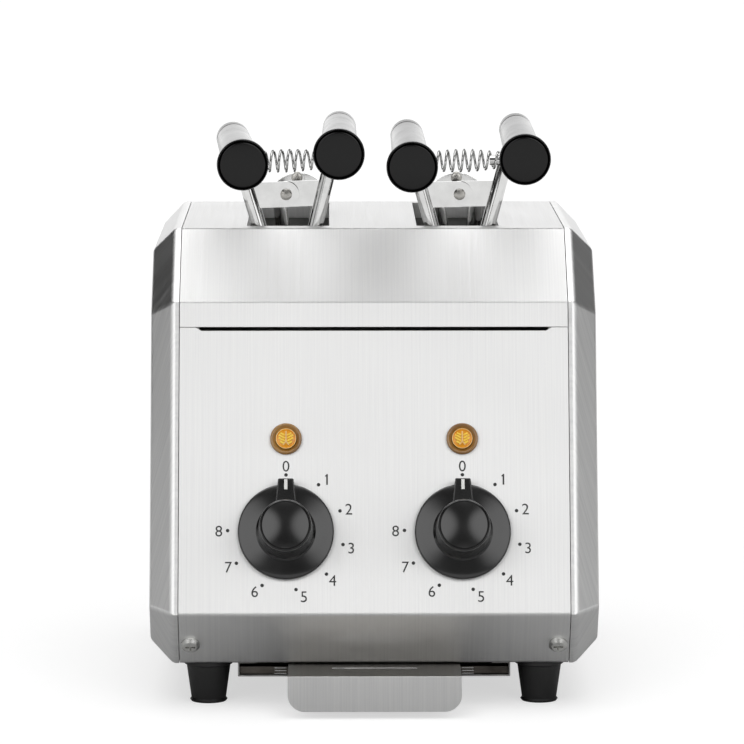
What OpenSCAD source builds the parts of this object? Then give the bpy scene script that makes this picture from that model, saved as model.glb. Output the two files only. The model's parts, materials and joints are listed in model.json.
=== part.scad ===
// Two-slot countertop toaster with a pair of lift-out sandwich tongs.
// X runs to the right, Y to the back and Z up. The origin is on the bench, under the middle of the box
// that holds the whole appliance.

/* [Feet] */
// Height of a rubber foot, from the bench to the housing
foot_h = 23; // [12:1:40]
// Radius of a foot at its top
foot_top_r = 13; // [9:0.5:16]
// Radius of a foot at the bench
foot_low_r = 9.3; // [7:0.1:12]
// Distance of each foot from the middle of the housing, where the tray leaves room
foot_spread = 89; // [60:1:90]
// Set-back of a foot's centre from the edge of the housing's bottom
foot_inset = 15; // [14:1:30]

/* [Housing] */
// Width of the front and top panels
panel_w = 208; // [200:1:300]
// Length of the control panel and the flange above it, between their two bends
panel_len = 169; // [160:1:220]
// Lean of the control panel from upright, in degrees
panel_tilt = 17; // [8:1:25]
// Length of the band that is folded back under the control panel
undercut_len = 36.2; // [25:0.5:50]
// Lean of that band from upright, in degrees
undercut_tilt = 35; // [20:1:45]
// Length of the sloping shoulder between the panel and the deck
shoulder_len = 56.2; // [40:0.5:80]
// Slope of the shoulder from level, in degrees
shoulder_rise = 39.4; // [25:0.5:50]
// Depth of the level deck
deck_len = 177; // [177:1:240]
// Thickness of the steel sheet
sheet = 1.2; // [0.8:0.1:2]
// Outer radius of a fold in the sheet
fold_r = 3; // [2.5:0.5:6]
// Depth of the flanges folded under the housing
hem = 32; // [28:1:45]
// Height of the seam between control panel and top cover, measured up the panel
seam_at = 155; // [130:1:158]
// Width of the vent gap along the seam
vent_w = 190.8; // [120:1:196]
// Height of the vent gap
vent_h = 1.8; // [1:0.1:6]
// Height of the flange that folds down behind the deck
rear_flange = 14; // [8:1:30]

/* [Side covers] */
// Gap between a side cover and the panels
cover_gap = 0.4; // [0.2:0.1:2]
// Thickness of the straight edge of a side cover
cover_edge = 3.5; // [2:0.5:10]
// Width of the bevel round a side cover
cover_bevel = 12; // [6:0.5:20]

/* [Slots] */
// Width of a slot
slot_w = 45; // [44:0.5:52]
// Length of a slot
slot_len = 151; // [140:1:170]
// Distance between the middles of the two slots
slot_pitch = 93; // [90:0.5:96]
// Set-back of the slots from the front edge of the deck
slot_inset = 15; // [10:0.5:25]
// Depth of the collar turned down round a slot
collar_h = 9; // [4:0.5:14]

/* [Toasting chamber] */
// Distance of the guard wires from the middle of their slot
guard_half = 31; // [31:0.5:33]
// Diameter of a guard or rest wire
guard_wire = 2; // [1.5:0.1:3]
// Number of upright wires in a guard, and of cross wires in a rest
guard_wires = 8; // [4:1:14]
// Distance of the heating tubes from the middle of the slot
heater_half = 37; // [36.5:0.1:38]
// Diameter of a heating tube
heater_d = 8; // [6:0.5:9]
// Number of heating tubes on each side of a slot
heater_rows = 3; // [2:1:4]
// Distance of the reflectors from the middle of the slot
reflector_half = 42.6; // [42:0.1:44]

/* [Timers and lamps] */
// Distance between the two timers, and between the two lamps
control_pitch = 94; // [80:1:110]
// Height of the timer shafts, measured up the panel
timer_at = 44.1; // [35:0.5:60]
// Height of the lamps, measured up the panel
lamp_at = 94.4; // [85:0.5:140]
// Diameter of a knob's skirt
knob_skirt_d = 51.2; // [40:0.2:60]
// Diameter of a knob's cap
knob_cap_d = 27.4; // [20:0.2:34]
// Height of a knob above the panel
knob_h = 30; // [20:1:40]
// Diameter of a timer shaft
shaft_d = 6; // [4:0.5:8]
// Diameter of a lamp's bezel
bezel_d = 16.4; // [14:0.2:24]
// Diameter of a lamp's lens
lens_d = 11; // [7:0.2:12]

/* [Crumb tray] */
// Width of the tray's housing
tray_w = 146; // [120:1:150]
// Height of the tray's housing
tray_h = 8; // [6:0.5:12]
// Width of the tray's tongue and lip
tongue_w = 92; // [60:1:110]
// Height of the lip
lip_h = 19; // [10:0.5:21]
// Reach of the lip in front of the control panel's lower bend
lip_reach = 17; // [5:0.5:40]

/* [Cable gland] */
// Diameter of the mains cord that the gland takes
cord_d = 7; // [5:0.5:9]
// Reach of the gland behind the rear panel
gland_reach = 12; // [8:0.5:20]
// Sideways place of the gland
gland_x = 70; // [20:1:85]

/* [Tongs] */
// Diameter of the bent rods
rod_d = 8; // [6:0.5:8]
// Diameter of the tang inside a grip
tang_d = 6.4; // [4:0.2:6.6]
// Height of the rivets above the deck
pivot_rise = 17; // [17:0.5:24]
// Set-back of the front rivet from the front end of the slot
pivot_inset = 5.2; // [5.2:0.1:8]
// Distance between the front rivet and the rear rivet
pivot_gap = 115; // [100:1:125]
// Half of the distance between the arms where they pass the deck
throat_half = 15.6; // [13:0.1:16]
// Half of the distance between the two cages
cage_half = 8; // [7.5:0.5:10]
// Depth of a cage's bottom rod below the rivets
cage_drop = 120; // [90:1:120]
// Length of a grip
grip_len = 106; // [80:1:115]
// Diameter of a grip's end disc
grip_disc_d = 27.2; // [22:0.2:28]
// Diameter of the lattice wires
lattice_wire = 2.4; // [1.6:0.2:3]
// Number of upright lattice wires
lattice_uprights = 7; // [3:1:12]
// Number of level lattice wires
lattice_levels = 4; // [2:1:7]

/* [Pose of the left tongs] */
// Place of the rivets beside the middle of the slot
left_shift = -0.9; // [-1.5:0.1:1.5]
// Turn of the tongs in the slot, in degrees
left_yaw = 2.5; // [0:0.1:2.5]
// Lean of the tongs in the slot, in degrees
left_roll = 2; // [0:0.1:2]
// Bend of the outer arm above its grip, sideways and up from the rivet
left_outer_bend = [-28.4, 32.6]; // [-40:0.1:40]
// End of the outer grip, sideways and up from the rivet
left_outer_tip = [-15.8, 24]; // [-40:0.1:40]
// Bend of the inner arm above its grip, sideways and up from the rivet
left_inner_bend = [30.5, 36.6]; // [-40:0.1:40]
// End of the inner grip, sideways and up from the rivet
left_inner_tip = [34.5, 28]; // [-40:0.1:40]

/* [Pose of the right tongs] */
// Place of the rivets beside the middle of the slot
right_shift = 1.1; // [-1.5:0.1:1.5]
// Turn of the tongs in the slot, in degrees
right_yaw = 0.65; // [0:0.1:2.5]
// Lean of the tongs in the slot, in degrees
right_roll = 1; // [0:0.1:2]
// Bend of the inner arm above its grip, sideways and up from the rivet
right_inner_bend = [-28.5, 33.7]; // [-40:0.1:40]
// End of the inner grip, sideways and up from the rivet
right_inner_tip = [-26, 22.6]; // [-40:0.1:40]
// Bend of the outer arm above its grip, sideways and up from the rivet
right_outer_bend = [30.9, 36]; // [-40:0.1:40]
// End of the outer grip, sideways and up from the rivet
right_outer_tip = [33.4, 25.6]; // [-40:0.1:40]

/* [Tong springs] */
// Diameter of the spring wire
spring_wire = 1.4; // [0.8:0.1:1.8]
// Diameter of the spring at the middle of its barrel
spring_d = 13.2; // [10:0.2:15]
// Diameter of the spring at its ends
spring_end_d = 9.8; // [8.5:0.2:10]
// Number of turns
spring_turns = 9; // [5:1:11]
// Height of the spring above the rivets
spring_rise = 18.4; // [16:0.1:20]

/* [Hidden] */
$fn = 48;

// Clearances shared by neighbouring pieces
seat = 0.15;
slip = 0.3;
running = 0.05;
beyond = 1;

// Side view of the housing: each corner is [y, z]
deck_run = panel_len * sin(panel_tilt) + shoulder_len * cos(shoulder_rise) + deck_len;
knob_round = 2.4;
knob_reach = (knob_cap_d / 2 - knob_round - timer_at) * sin(panel_tilt)
  + (knob_h - 0.5 - knob_round) * cos(panel_tilt) + knob_round;
front_reach = max(lip_reach, knob_reach);
front_y = -(deck_run + gland_reach - front_reach) / 2;
low_bend = [front_y, foot_h + undercut_len * cos(undercut_tilt)];
low_edge = [front_y + undercut_len * sin(undercut_tilt), foot_h];
high_bend = low_bend + panel_len * [sin(panel_tilt), cos(panel_tilt)];
deck_front = high_bend + shoulder_len * [cos(shoulder_rise), sin(shoulder_rise)];
deck_rear = deck_front + [deck_len, 0];
rear_edge = [deck_rear[0], foot_h];
section = [low_edge, low_bend, high_bend, deck_front, deck_rear, rear_edge];
deck_z = deck_front[1];
rear_y = deck_rear[0];
seam = low_bend + seam_at * [sin(panel_tilt), cos(panel_tilt)];

// Widths, from the middle outwards
panel_half = panel_w / 2;
cover_in = panel_half + cover_gap;
cover_w = cover_edge + cover_bevel;
frame_out = panel_half - 0.4;
frame_rim = 10;
inside_half = frame_out - sheet - 0.2;

// Levels inside the housing
rim_inset = sheet + seat;
floor_z = foot_h + rim_inset + sheet + 0.1;
floor_top = floor_z + sheet;
ceiling_z = deck_z - rim_inset - sheet - 0.2;
chamber_rise = 55;
wall_clear = 2.4;

// Chamber
slot_x = slot_pitch / 2;
slot_front = deck_front[0] + slot_inset;
slot_rear = slot_front + slot_len;
wall_t = 1;
front_wall_y = slot_front - sheet - wall_t - wall_clear;
rear_wall_y = slot_rear + sheet + wall_clear;
chamber_low = floor_top + chamber_rise;
chamber_front = front_wall_y + wall_t + 0.2;
chamber_rear = rear_wall_y - 0.2;
pivot_z = deck_z + pivot_rise;
rod_r = rod_d / 2;
roll_dip = (cage_half + rod_r) * sin(max(left_roll, right_roll));
rest_z = pivot_z - cage_drop - rod_r - roll_dip - slip - guard_wire / 2;
guard_top = deck_z - sheet - collar_h - 1.5;
rail_d = 3;
weld = 0.6;
rail_off = guard_half + (guard_wire + rail_d) / 2 - weld;
rail_drop = 12;
rest_off = 18;
rest_rail_z = rest_z - (guard_wire + rail_d) / 2 + weld;
wire_inset = 5;
wire_pitch = (slot_len - 2 * wire_inset) / (guard_wires - 1);
wire_rows = [for (i = [0 : guard_wires - 1]) slot_front + wire_inset + i * wire_pitch];
heater_cap_d = heater_d + 1.6;
rail_clear = 6;
heater_low = rest_z + rail_drop + rail_clear;
heater_high = guard_top - rail_drop - rail_clear;
heater_pitch = min(27, (heater_high - heater_low) / (heater_rows - 1));
tray_opening = [slot_pitch + 30, slot_len - 8];

// Tray, with the feet beside it
foot_x = max(foot_spread, tray_w / 2 + foot_top_r + 0.5);
tray_top = foot_h - 0.1;
tray_floor = tray_top - tray_h;
tray_front = low_edge[0] + 4;
tray_rear = rear_edge[0] - 14;
tray_sheet = 0.8;
tray_wall = 4;
lip_top = foot_h - 0.3;
lip_y = front_y - lip_reach;

// Tongs
pivot_y = slot_front + pivot_inset;
ear_t = 2;
ear_r = 7;
rivet_r = 2;
rivet_head_r = 3.2;
rivet_head_h = 1.2;
rear_leg_half = 11;
rear_leg_top = -9;
rear_ear_half = 12.5;
rear_ear_r = 18;
rear_ear_rise = 2.6;
rear_ear_low = -13;

function unit(v) = v / norm(v);
function right_of(d) = [d[1], -d[0]];

// Side of a path to the right of its travel: a path moved over by t, with mitred corners
function moved_over(path, t) = [
  for (i = [0 : len(path) - 1])
    let (
      before = right_of(unit(path[max(i, 1)] - path[max(i, 1) - 1])),
      last = len(path) - 2,
      after = right_of(unit(path[min(i, last) + 1] - path[min(i, last)])))
    path[i] + t * (before + after) / (1 + before * after)];

// A closed outline drawn in by t
function drawn_in(outline, t) = [
  for (i = [0 : len(outline) - 1])
    let (
      n = len(outline),
      before = right_of(unit(outline[i] - outline[(i + n - 1) % n])),
      after = right_of(unit(outline[(i + 1) % n] - outline[i])))
    outline[i] + t * (before + after) / (1 + before * after)];

// A path with its corners rounded to a radius
fold_steps = 5;
function rounded(path, r) = [
  for (i = [0 : len(path) - 1])
    if (i == 0 || i == len(path) - 1) path[i]
    else
      let (
        a = unit(path[i] - path[i - 1]),
        b = unit(path[i + 1] - path[i]),
        turn = acos(a * b),
        back = r * tan(turn / 2),
        away = sign(cross(a, b)) * [-a[1], a[0]],
        centre = path[i] - a * back + away * r)
      for (s = [0 : fold_steps])
        let (q = turn * s / fold_steps)
        centre - away * r * cos(q) + a * r * sin(q)];

function backwards(list) = [for (i = [len(list) - 1 : -1 : 0]) list[i]];

// Draws a [y, z] shape as a slab across the housing
module across(width) {
  rotate([90, 0, 90]) linear_extrude(height = width, center = true) children();
}

// Sheet folded along a [y, z] path, its thickness to the right of the path
module folded_sheet(path, width, t = sheet) {
  across(width) polygon(concat(path, backwards(moved_over(path, t))));
}

// Places a shape on the control panel: its own Z points straight out of the panel, Y up it
module on_panel(x, at) {
  point = low_bend + at * [sin(panel_tilt), cos(panel_tilt)];
  translate([x, point[0], point[1]]) rotate([90 - panel_tilt, 0, 0]) children();
}

// Places a shape on the undercut band, measured down from the lower bend
module on_band(x, down) {
  point = low_bend + down * [sin(undercut_tilt), -cos(undercut_tilt)];
  translate([x, point[0], point[1]]) rotate([90 + undercut_tilt, 0, 0]) children();
}

// Places a shape behind the rear panel: its own Z points to the back
module on_rear(x, z) {
  translate([x, rear_y, z]) rotate([-90, 0, 0]) children();
}

// Stands a shape at a point, its own Z along a direction
module along(start, dir) {
  side = unit(cross(dir, abs(dir[2]) > 0.9 ? [1, 0, 0] : [0, 0, 1]));
  up = cross(side, dir);
  multmatrix([
    [side[0], -up[0], dir[0], start[0]],
    [side[1], -up[1], dir[1], start[1]],
    [side[2], -up[2], dir[2], start[2]],
    [0, 0, 0, 1]])
    children();
}

// Round rod through a list of points. A slight bend gets a ball, a sharp one has its ends lapped.
slight_bend = 40;
module bent_rod(points, d) {
  last = len(points) - 2;
  lap = d * 0.36;
  dirs = [for (i = [0 : last]) unit(points[i + 1] - points[i])];
  sharp = [for (i = [0 : last + 1]) i > 0 && i <= last && acos(dirs[i - 1] * dirs[i]) > slight_bend];
  for (i = [0 : last]) {
    before = sharp[i] ? lap : 0;
    after = sharp[i + 1] ? lap : 0;
    along(points[i] - dirs[i] * before, dirs[i])
      cylinder(d = d, h = norm(points[i + 1] - points[i]) + before + after);
  }
  for (i = [1 : 1 : last])
    if (!sharp[i]) translate(points[i]) sphere(d = d * 1.03);
}

// Screw with a pan head and a cross recess, head upwards, its seat at the origin
module pan_screw(head_d, head_h, shank_d, shank_h) {
  difference() {
    union() {
      cylinder(d = head_d, h = head_h * 0.5);
      translate([0, 0, head_h * 0.5]) cylinder(d1 = head_d, d2 = head_d * 0.7, h = head_h * 0.5);
      translate([0, 0, -shank_h]) cylinder(d = shank_d, h = shank_h + 0.01);
    }
    for (a = [0, 90])
      rotate([0, 0, a])
        translate([-head_d * 0.26, -head_d * 0.06, head_h * 0.4])
          cube([head_d * 0.52, head_d * 0.12, head_h]);
  }
}

// Front screws
screw_d = 4;
screw_head_d = 10;
screw_head_h = 2.6;
screw_x = panel_half - 6;
screw_down = undercut_len * 0.6;
rear_screw_low = foot_h + 12;
rear_screw_high = deck_z - rear_flange / 2;

// Timer and shaft
bush_d = 10;
bush_hole = bush_d + 2 * seat;
nut_h = 3;
nut_d = 14;
timer_size = [46, 46, 30];
bush_h = 8;
shaft_reach = 22;

// Lamps
lamp_barrel_d = bezel_d - 2.6;
lamp_depth = 24;

module control_panel() {
  path = rounded([low_edge + [hem, 0], low_edge, low_bend, seam], fold_r);
  notch_in = 3;
  color("gainsboro")
    difference() {
      folded_sheet(path, panel_w);
      on_panel(0, seam_at)
        linear_extrude(height = 3 * sheet, center = true)
          polygon([
            [-vent_w / 2, beyond], [-vent_w / 2, 0], [-vent_w / 2 + notch_in, -vent_h],
            [vent_w / 2 - notch_in, -vent_h], [vent_w / 2, 0], [vent_w / 2, beyond]]);
      for (x = [-1, 1] * control_pitch / 2) {
        on_panel(x, timer_at) cylinder(d = bush_hole, h = 4 * sheet, center = true);
        on_panel(x, lamp_at) cylinder(d = lamp_barrel_d + 2 * seat, h = 4 * sheet, center = true);
      }
      for (x = [-1, 1] * screw_x)
        on_band(x, screw_down) cylinder(d = screw_d + 0.4, h = 4 * sheet, center = true);
      for (x = [-1, 1] * foot_x)
        translate([x, low_edge[0] + foot_inset, foot_h])
          cylinder(d = foot_screw_d + 0.6, h = 4 * sheet, center = true);
    }
}

module slot_shape(grow) {
  for (side = [-1, 1])
    translate([side * slot_x - slot_w / 2 - grow, slot_front - grow])
      square([slot_w + 2 * grow, slot_len + 2 * grow]);
}

module top_cover() {
  start = seam + slip * [sin(panel_tilt), cos(panel_tilt)];
  path = rounded([start, high_bend, deck_front, deck_rear, deck_rear - [0, rear_flange]], fold_r);
  color("whitesmoke")
    difference() {
      union() {
        folded_sheet(path, panel_w);
        translate([0, 0, deck_z - collar_h])
          linear_extrude(height = collar_h - sheet / 2) slot_shape(sheet);
      }
      translate([0, 0, deck_z - collar_h - beyond])
        linear_extrude(height = collar_h + 2 * beyond) slot_shape(0);
      for (x = [-1, 1] * screw_x)
        on_rear(x, rear_screw_high) cylinder(d = screw_d + 0.4, h = 4 * sheet, center = true);
    }
}

gland_z = foot_h + 26;
gland_thread_d = cord_d + 7;
louvre = [52, 3];
louvre_pitch = 9;
louvre_rows = 9;
louvre_low = foot_h + 100;

module rear_panel() {
  top = [rear_y, deck_z - rear_flange - slip];
  path = rounded([top, rear_edge, rear_edge - [hem, 0]], fold_r);
  color("silver")
    difference() {
      folded_sheet(path, panel_w);
      on_rear(gland_x, gland_z) cylinder(d = gland_thread_d + 2 * seat, h = 4 * sheet, center = true);
      for (side = [-1, 1], row = [0 : louvre_rows - 1])
        translate([side * slot_x - louvre[0] / 2, rear_y - 2 * sheet, louvre_low + row * louvre_pitch])
          cube([louvre[0], 4 * sheet, louvre[1]]);
      for (x = [-1, 1] * screw_x)
        on_rear(x, rear_screw_low) cylinder(d = screw_d + 0.4, h = 4 * sheet, center = true);
      for (x = [-1, 1] * foot_x)
        translate([x, rear_edge[0] - foot_inset, foot_h])
          cylinder(d = foot_screw_d + 0.6, h = 4 * sheet, center = true);
    }
}

// Slab on an outline, with a bevel at 45 degrees round its far face
module bevelled_slab(outline, thickness, bevel) {
  n = len(outline);
  difference() {
    linear_extrude(height = thickness) polygon(outline);
    for (i = [0 : n - 1]) {
      a = outline[i];
      b = outline[(i + 1) % n];
      length = norm(b - a);
      translate([a[0], a[1], thickness - bevel])
        rotate([0, 0, atan2(b[1] - a[1], b[0] - a[0])])
          rotate([45, 0, 0])
            translate([-length, 0, 0]) cube([3 * length, 3 * bevel, 3 * bevel]);
    }
  }
}

// Hollow side cover, its open side towards the housing
module side_cover(side) {
  inner_bevel = cover_bevel - sheet * (2 - sqrt(2));
  color("gainsboro")
    mirror([side < 0 ? 1 : 0, 0, 0])
      translate([cover_in, 0, 0])
        rotate([90, 0, 90])
          difference() {
            bevelled_slab(section, cover_w, cover_bevel);
            translate([0, 0, -beyond])
              bevelled_slab(drawn_in(section, sheet), cover_w - sheet + beyond, inner_bevel);
          }
}

// Inner side plate with a rim folded inwards
module side_frame(side) {
  outline = drawn_in(section, rim_inset);
  hole_d = 8;
  hole_pitch = [20, 26];
  first_hole = [slot_front + 12, chamber_low + 20];
  through = 30;
  color("silver")
    mirror([side < 0 ? 1 : 0, 0, 0])
      difference() {
        translate([frame_out - frame_rim, 0, 0])
          rotate([90, 0, 90]) linear_extrude(height = frame_rim) polygon(outline);
        translate([frame_out - frame_rim - beyond, 0, 0])
          rotate([90, 0, 90])
            linear_extrude(height = frame_rim + beyond - sheet) polygon(drawn_in(outline, sheet));
        for (row = [0 : 4], column = [0 : 6])
          translate([
            frame_out - 2 * sheet, first_hole[0] + column * hole_pitch[0], first_hole[1] + row * hole_pitch[1]])
            rotate([0, 90, 0]) cylinder(d = hole_d, h = 4 * sheet);
        for (y = [low_edge[0] + foot_inset, rear_edge[0] - foot_inset])
          translate([foot_x, y, foot_h]) cylinder(d = foot_screw_d + 0.6, h = 6 * sheet);
        on_band(screw_x, screw_down) cylinder(d = screw_d + 0.4, h = through, center = true);
        for (z = [rear_screw_low, rear_screw_high])
          on_rear(screw_x, z) cylinder(d = screw_d + 0.4, h = through, center = true);
      }
}

module base_plate() {
  front = low_edge[0] + 2;
  rear = rear_y - rim_inset - sheet - 0.2;
  middle = (slot_front + slot_rear) / 2;
  air_slot = [4, 30];
  air_pitch = 12;
  air_front = front + 24;
  color("silver")
    difference() {
      translate([-inside_half, front, floor_z]) cube([2 * inside_half, rear - front, sheet]);
      translate([-tray_opening[0] / 2, middle - tray_opening[1] / 2, floor_z - beyond])
        cube([tray_opening[0], tray_opening[1], sheet + 2 * beyond]);
      for (x = [-1, 1] * foot_x, y = [low_edge[0] + foot_inset, rear_edge[0] - foot_inset])
        translate([x, y, floor_z]) cylinder(d = foot_screw_d + 0.6, h = 4 * sheet, center = true);
      for (row = [-6 : 6])
        translate([row * air_pitch - air_slot[0] / 2, air_front, floor_z - beyond])
          cube([air_slot[0], air_slot[1], sheet + 2 * beyond]);
    }
}

// Places of the heating tubes and wire rails, seen from the front: [x, z]
heater_at = [
  for (side = [-1, 1], half = [-1, 1], row = [0 : heater_rows - 1])
    [side * slot_x + half * heater_half, heater_low + row * heater_pitch]];
rail_at = [
  for (side = [-1, 1], half = [-1, 1],
    at = [[rail_off, rest_z + rail_drop], [rail_off, guard_top - rail_drop], [rest_off, rest_rail_z]])
    [side * slot_x + half * at[0], at[1]]];

module chamber_wall(y) {
  color("darkgray")
    difference() {
      translate([-inside_half, y, chamber_low]) cube([2 * inside_half, wall_t, ceiling_z - chamber_low]);
      for (at = heater_at)
        translate([at[0], y - beyond, at[1]])
          rotate([-90, 0, 0]) cylinder(d = heater_cap_d + 2 * seat, h = wall_t + 2 * beyond);
      for (at = rail_at)
        translate([at[0], y - beyond, at[1]])
          rotate([-90, 0, 0]) cylinder(d = rail_d + 2 * seat, h = wall_t + 2 * beyond);
    }
}

module front_chamber_wall() {
  chamber_wall(front_wall_y);
}

module rear_chamber_wall() {
  chamber_wall(rear_wall_y);
}

// Reflector sheet with lips folded away from the slot
reflector_t = 0.8;
reflector_lip = 8;
reflector_low = chamber_low + 4;
reflector_high = ceiling_z - 4;
module reflector_sheet(x, away) {
  low = reflector_low;
  high = reflector_high;
  translate([x, chamber_front, low])
    mirror([away < 0 ? 1 : 0, 0, 0]) {
      cube([reflector_t, chamber_rear - chamber_front, high - low]);
      cube([reflector_lip, chamber_rear - chamber_front, reflector_t]);
      translate([0, 0, high - low - reflector_t])
        cube([reflector_lip, chamber_rear - chamber_front, reflector_t]);
    }
}

module left_reflector() {
  color("silver") reflector_sheet(-slot_x - reflector_half, -1);
}

module right_reflector() {
  color("silver") reflector_sheet(slot_x + reflector_half, 1);
}

module centre_reflector() {
  half = slot_x - reflector_half;
  low = reflector_low;
  high = reflector_high;
  color("silver")
    translate([-half, chamber_front, low])
      difference() {
        cube([2 * half, chamber_rear - chamber_front, high - low]);
        translate([reflector_t, -beyond, reflector_t])
          cube([2 * (half - reflector_t), chamber_rear - chamber_front + 2 * beyond, high - low]);
      }
}

module heater_bank(side, half) {
  cap_len = 8;
  proud = 2.5;
  color("orange")
    for (row = [0 : heater_rows - 1])
      translate([side * slot_x + half * heater_half, front_wall_y - proud, heater_low + row * heater_pitch])
        rotate([-90, 0, 0]) {
          cylinder(d = heater_d, h = rear_wall_y + wall_t - front_wall_y + 2 * proud);
          cylinder(d = heater_cap_d, h = cap_len);
          translate([0, 0, rear_wall_y + wall_t - front_wall_y + 2 * proud - cap_len])
            cylinder(d = heater_cap_d, h = cap_len);
        }
}

// One rod through both chamber walls
module wall_rail(x, z) {
  proud = 0.6;
  translate([x, front_wall_y - proud, z])
    rotate([-90, 0, 0]) cylinder(d = rail_d, h = rear_wall_y + wall_t + 2 * proud - front_wall_y);
}

// Upright wires on two rails, which keep the bread off the heating tubes
module wire_guards(side) {
  low = rest_z + rail_drop - rail_d;
  color("silver")
    for (half = [-1, 1]) {
      for (y = wire_rows)
        translate([side * slot_x + half * guard_half, y, low]) cylinder(d = guard_wire, h = guard_top - low);
      for (z = [rest_z + rail_drop, guard_top - rail_drop])
        wall_rail(side * slot_x + half * rail_off, z);
    }
}

module left_wire_guards() {
  wire_guards(-1);
}

module right_wire_guards() {
  wire_guards(1);
}

// Cross wires on two rails, which the bread stands on
module wire_rest(side) {
  reach = rest_off + 8;
  color("silver") {
    for (y = wire_rows)
      translate([side * slot_x - reach, y, rest_z])
        rotate([0, 90, 0]) cylinder(d = guard_wire, h = 2 * reach);
    for (half = [-1, 1])
      wall_rail(side * slot_x + half * rest_off, rest_rail_z);
  }
}

module left_wire_rest() {
  wire_rest(-1);
}

module right_wire_rest() {
  wire_rest(1);
}

module tray_housing() {
  ledge = 10;
  color("silver")
    difference() {
      translate([-tray_w / 2, tray_front, tray_floor]) cube([tray_w, tray_rear - tray_front, tray_h]);
      translate([-tray_w / 2 + tray_sheet, tray_front - beyond, tray_floor + tray_sheet])
        cube([tray_w - 2 * tray_sheet, tray_rear - tray_front - tray_sheet + beyond, tray_h - 2 * tray_sheet]);
      translate([-tray_w / 2 + ledge, tray_front - beyond, tray_floor + tray_h / 2])
        cube([tray_w - 2 * ledge, tray_rear - tray_front - ledge + beyond, tray_h]);
    }
}

// Pull-out lip seen from the front, its lower corners rounded
module lip_shape() {
  corner = min(9, lip_h / 2 - 0.25);
  middle = tongue_w / 2 - corner;
  translate([-tongue_w / 2, corner]) square([tongue_w, lip_h - corner]);
  translate([-middle, 0]) square([2 * middle, lip_h]);
  for (side = [-1, 1])
    translate([side * middle, corner]) circle(r = corner);
}

module crumb_tray() {
  pan_w = tray_w - 2 * tray_sheet - 2 * slip;
  pan_z = tray_floor + tray_sheet + slip;
  pan_front = tray_front + 2;
  pan_len = tray_rear - 2 * slip - tray_sheet - pan_front;
  color("gainsboro") {
    difference() {
      translate([-pan_w / 2, pan_front, pan_z]) cube([pan_w, pan_len, tray_wall]);
      translate([-pan_w / 2 + tray_sheet, pan_front + tray_sheet, pan_z + tray_sheet])
        cube([pan_w - 2 * tray_sheet, pan_len - 2 * tray_sheet, tray_wall]);
    }
    folded_sheet(
      [[pan_front + tray_sheet, pan_z], [pan_front + tray_sheet, lip_top], [lip_y, lip_top]],
      tongue_w, -tray_sheet);
    translate([0, lip_y + tray_sheet, lip_top - lip_h])
      rotate([90, 0, 0]) linear_extrude(height = tray_sheet) lip_shape();
  }
}

foot_screw_d = 5;
module rubber_foot(side, y) {
  flare_h = 2;
  head_r = foot_screw_d * 0.95;
  recess = 6;
  color("dimgray")
    translate([side * foot_x, y, 0])
      difference() {
        rotate_extrude()
          polygon([
            [0, 0], [foot_low_r, 0], [foot_low_r + 0.8, flare_h / 2], [foot_low_r, flare_h],
            [foot_top_r - 1.2, foot_h - 3], [foot_top_r, foot_h - 2.4], [foot_top_r, foot_h], [0, foot_h]]);
        translate([0, 0, -beyond]) cylinder(r = head_r + 0.6, h = recess + beyond);
        translate([0, 0, -beyond]) cylinder(d = foot_screw_d + 0.3, h = foot_h + 2 * beyond);
      }
}

module foot_screws() {
  head_low = 2.4;
  head_h = 3.4;
  end_above = 4;
  color("silver")
    for (x = [-1, 1] * foot_x, y = [low_edge[0] + foot_inset, rear_edge[0] - foot_inset])
      translate([x, y, head_low]) {
        cylinder(r = foot_screw_d * 0.95, h = head_h);
        cylinder(d = foot_screw_d, h = floor_top + end_above - head_low);
      }
}

module front_screws() {
  color("whitesmoke")
    for (x = [-1, 1] * screw_x)
      on_band(x, screw_down) translate([0, 0, running]) pan_screw(screw_head_d, screw_head_h, screw_d, 8);
}

module rear_screws() {
  head_d = 8;
  head_h = 2.2;
  color("whitesmoke")
    for (x = [-1, 1] * screw_x, z = [rear_screw_low, rear_screw_high])
      on_rear(x, z) translate([0, 0, running]) pan_screw(head_d, head_h, screw_d, 6);
}

// Clockwork timer behind the control panel, with a threaded bush through it
module timer(side) {
  case_gap = 0.1;
  color("dimgray")
    on_panel(side * control_pitch / 2, timer_at)
      difference() {
        union() {
          translate([-timer_size[0] / 2, -timer_size[1] / 2, -sheet - case_gap - timer_size[2]])
            cube(timer_size);
          translate([0, 0, -sheet - case_gap - 0.01])
            cylinder(d = bush_d, h = bush_h - nut_h + sheet + case_gap);
        }
        translate([0, 0, -shaft_reach]) cylinder(d = shaft_d + 2 * running, h = shaft_reach + bush_h + beyond);
      }
}

module timer_nuts() {
  color("goldenrod")
    for (x = [-1, 1] * control_pitch / 2)
      on_panel(x, timer_at)
        translate([0, 0, 0.05])
          difference() {
            cylinder(d = nut_d, h = nut_h, $fn = 6);
            translate([0, 0, -beyond]) cylinder(d = bush_d + 0.1, h = nut_h + 2 * beyond);
          }
}

knob_lift = 0.8;
shaft_out = knob_h - 7;
module timer_shaft(side) {
  color("silver")
    on_panel(side * control_pitch / 2, timer_at)
      translate([0, 0, -shaft_reach + 1]) cylinder(d = shaft_d, h = shaft_reach - 1 + shaft_out);
}

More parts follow.
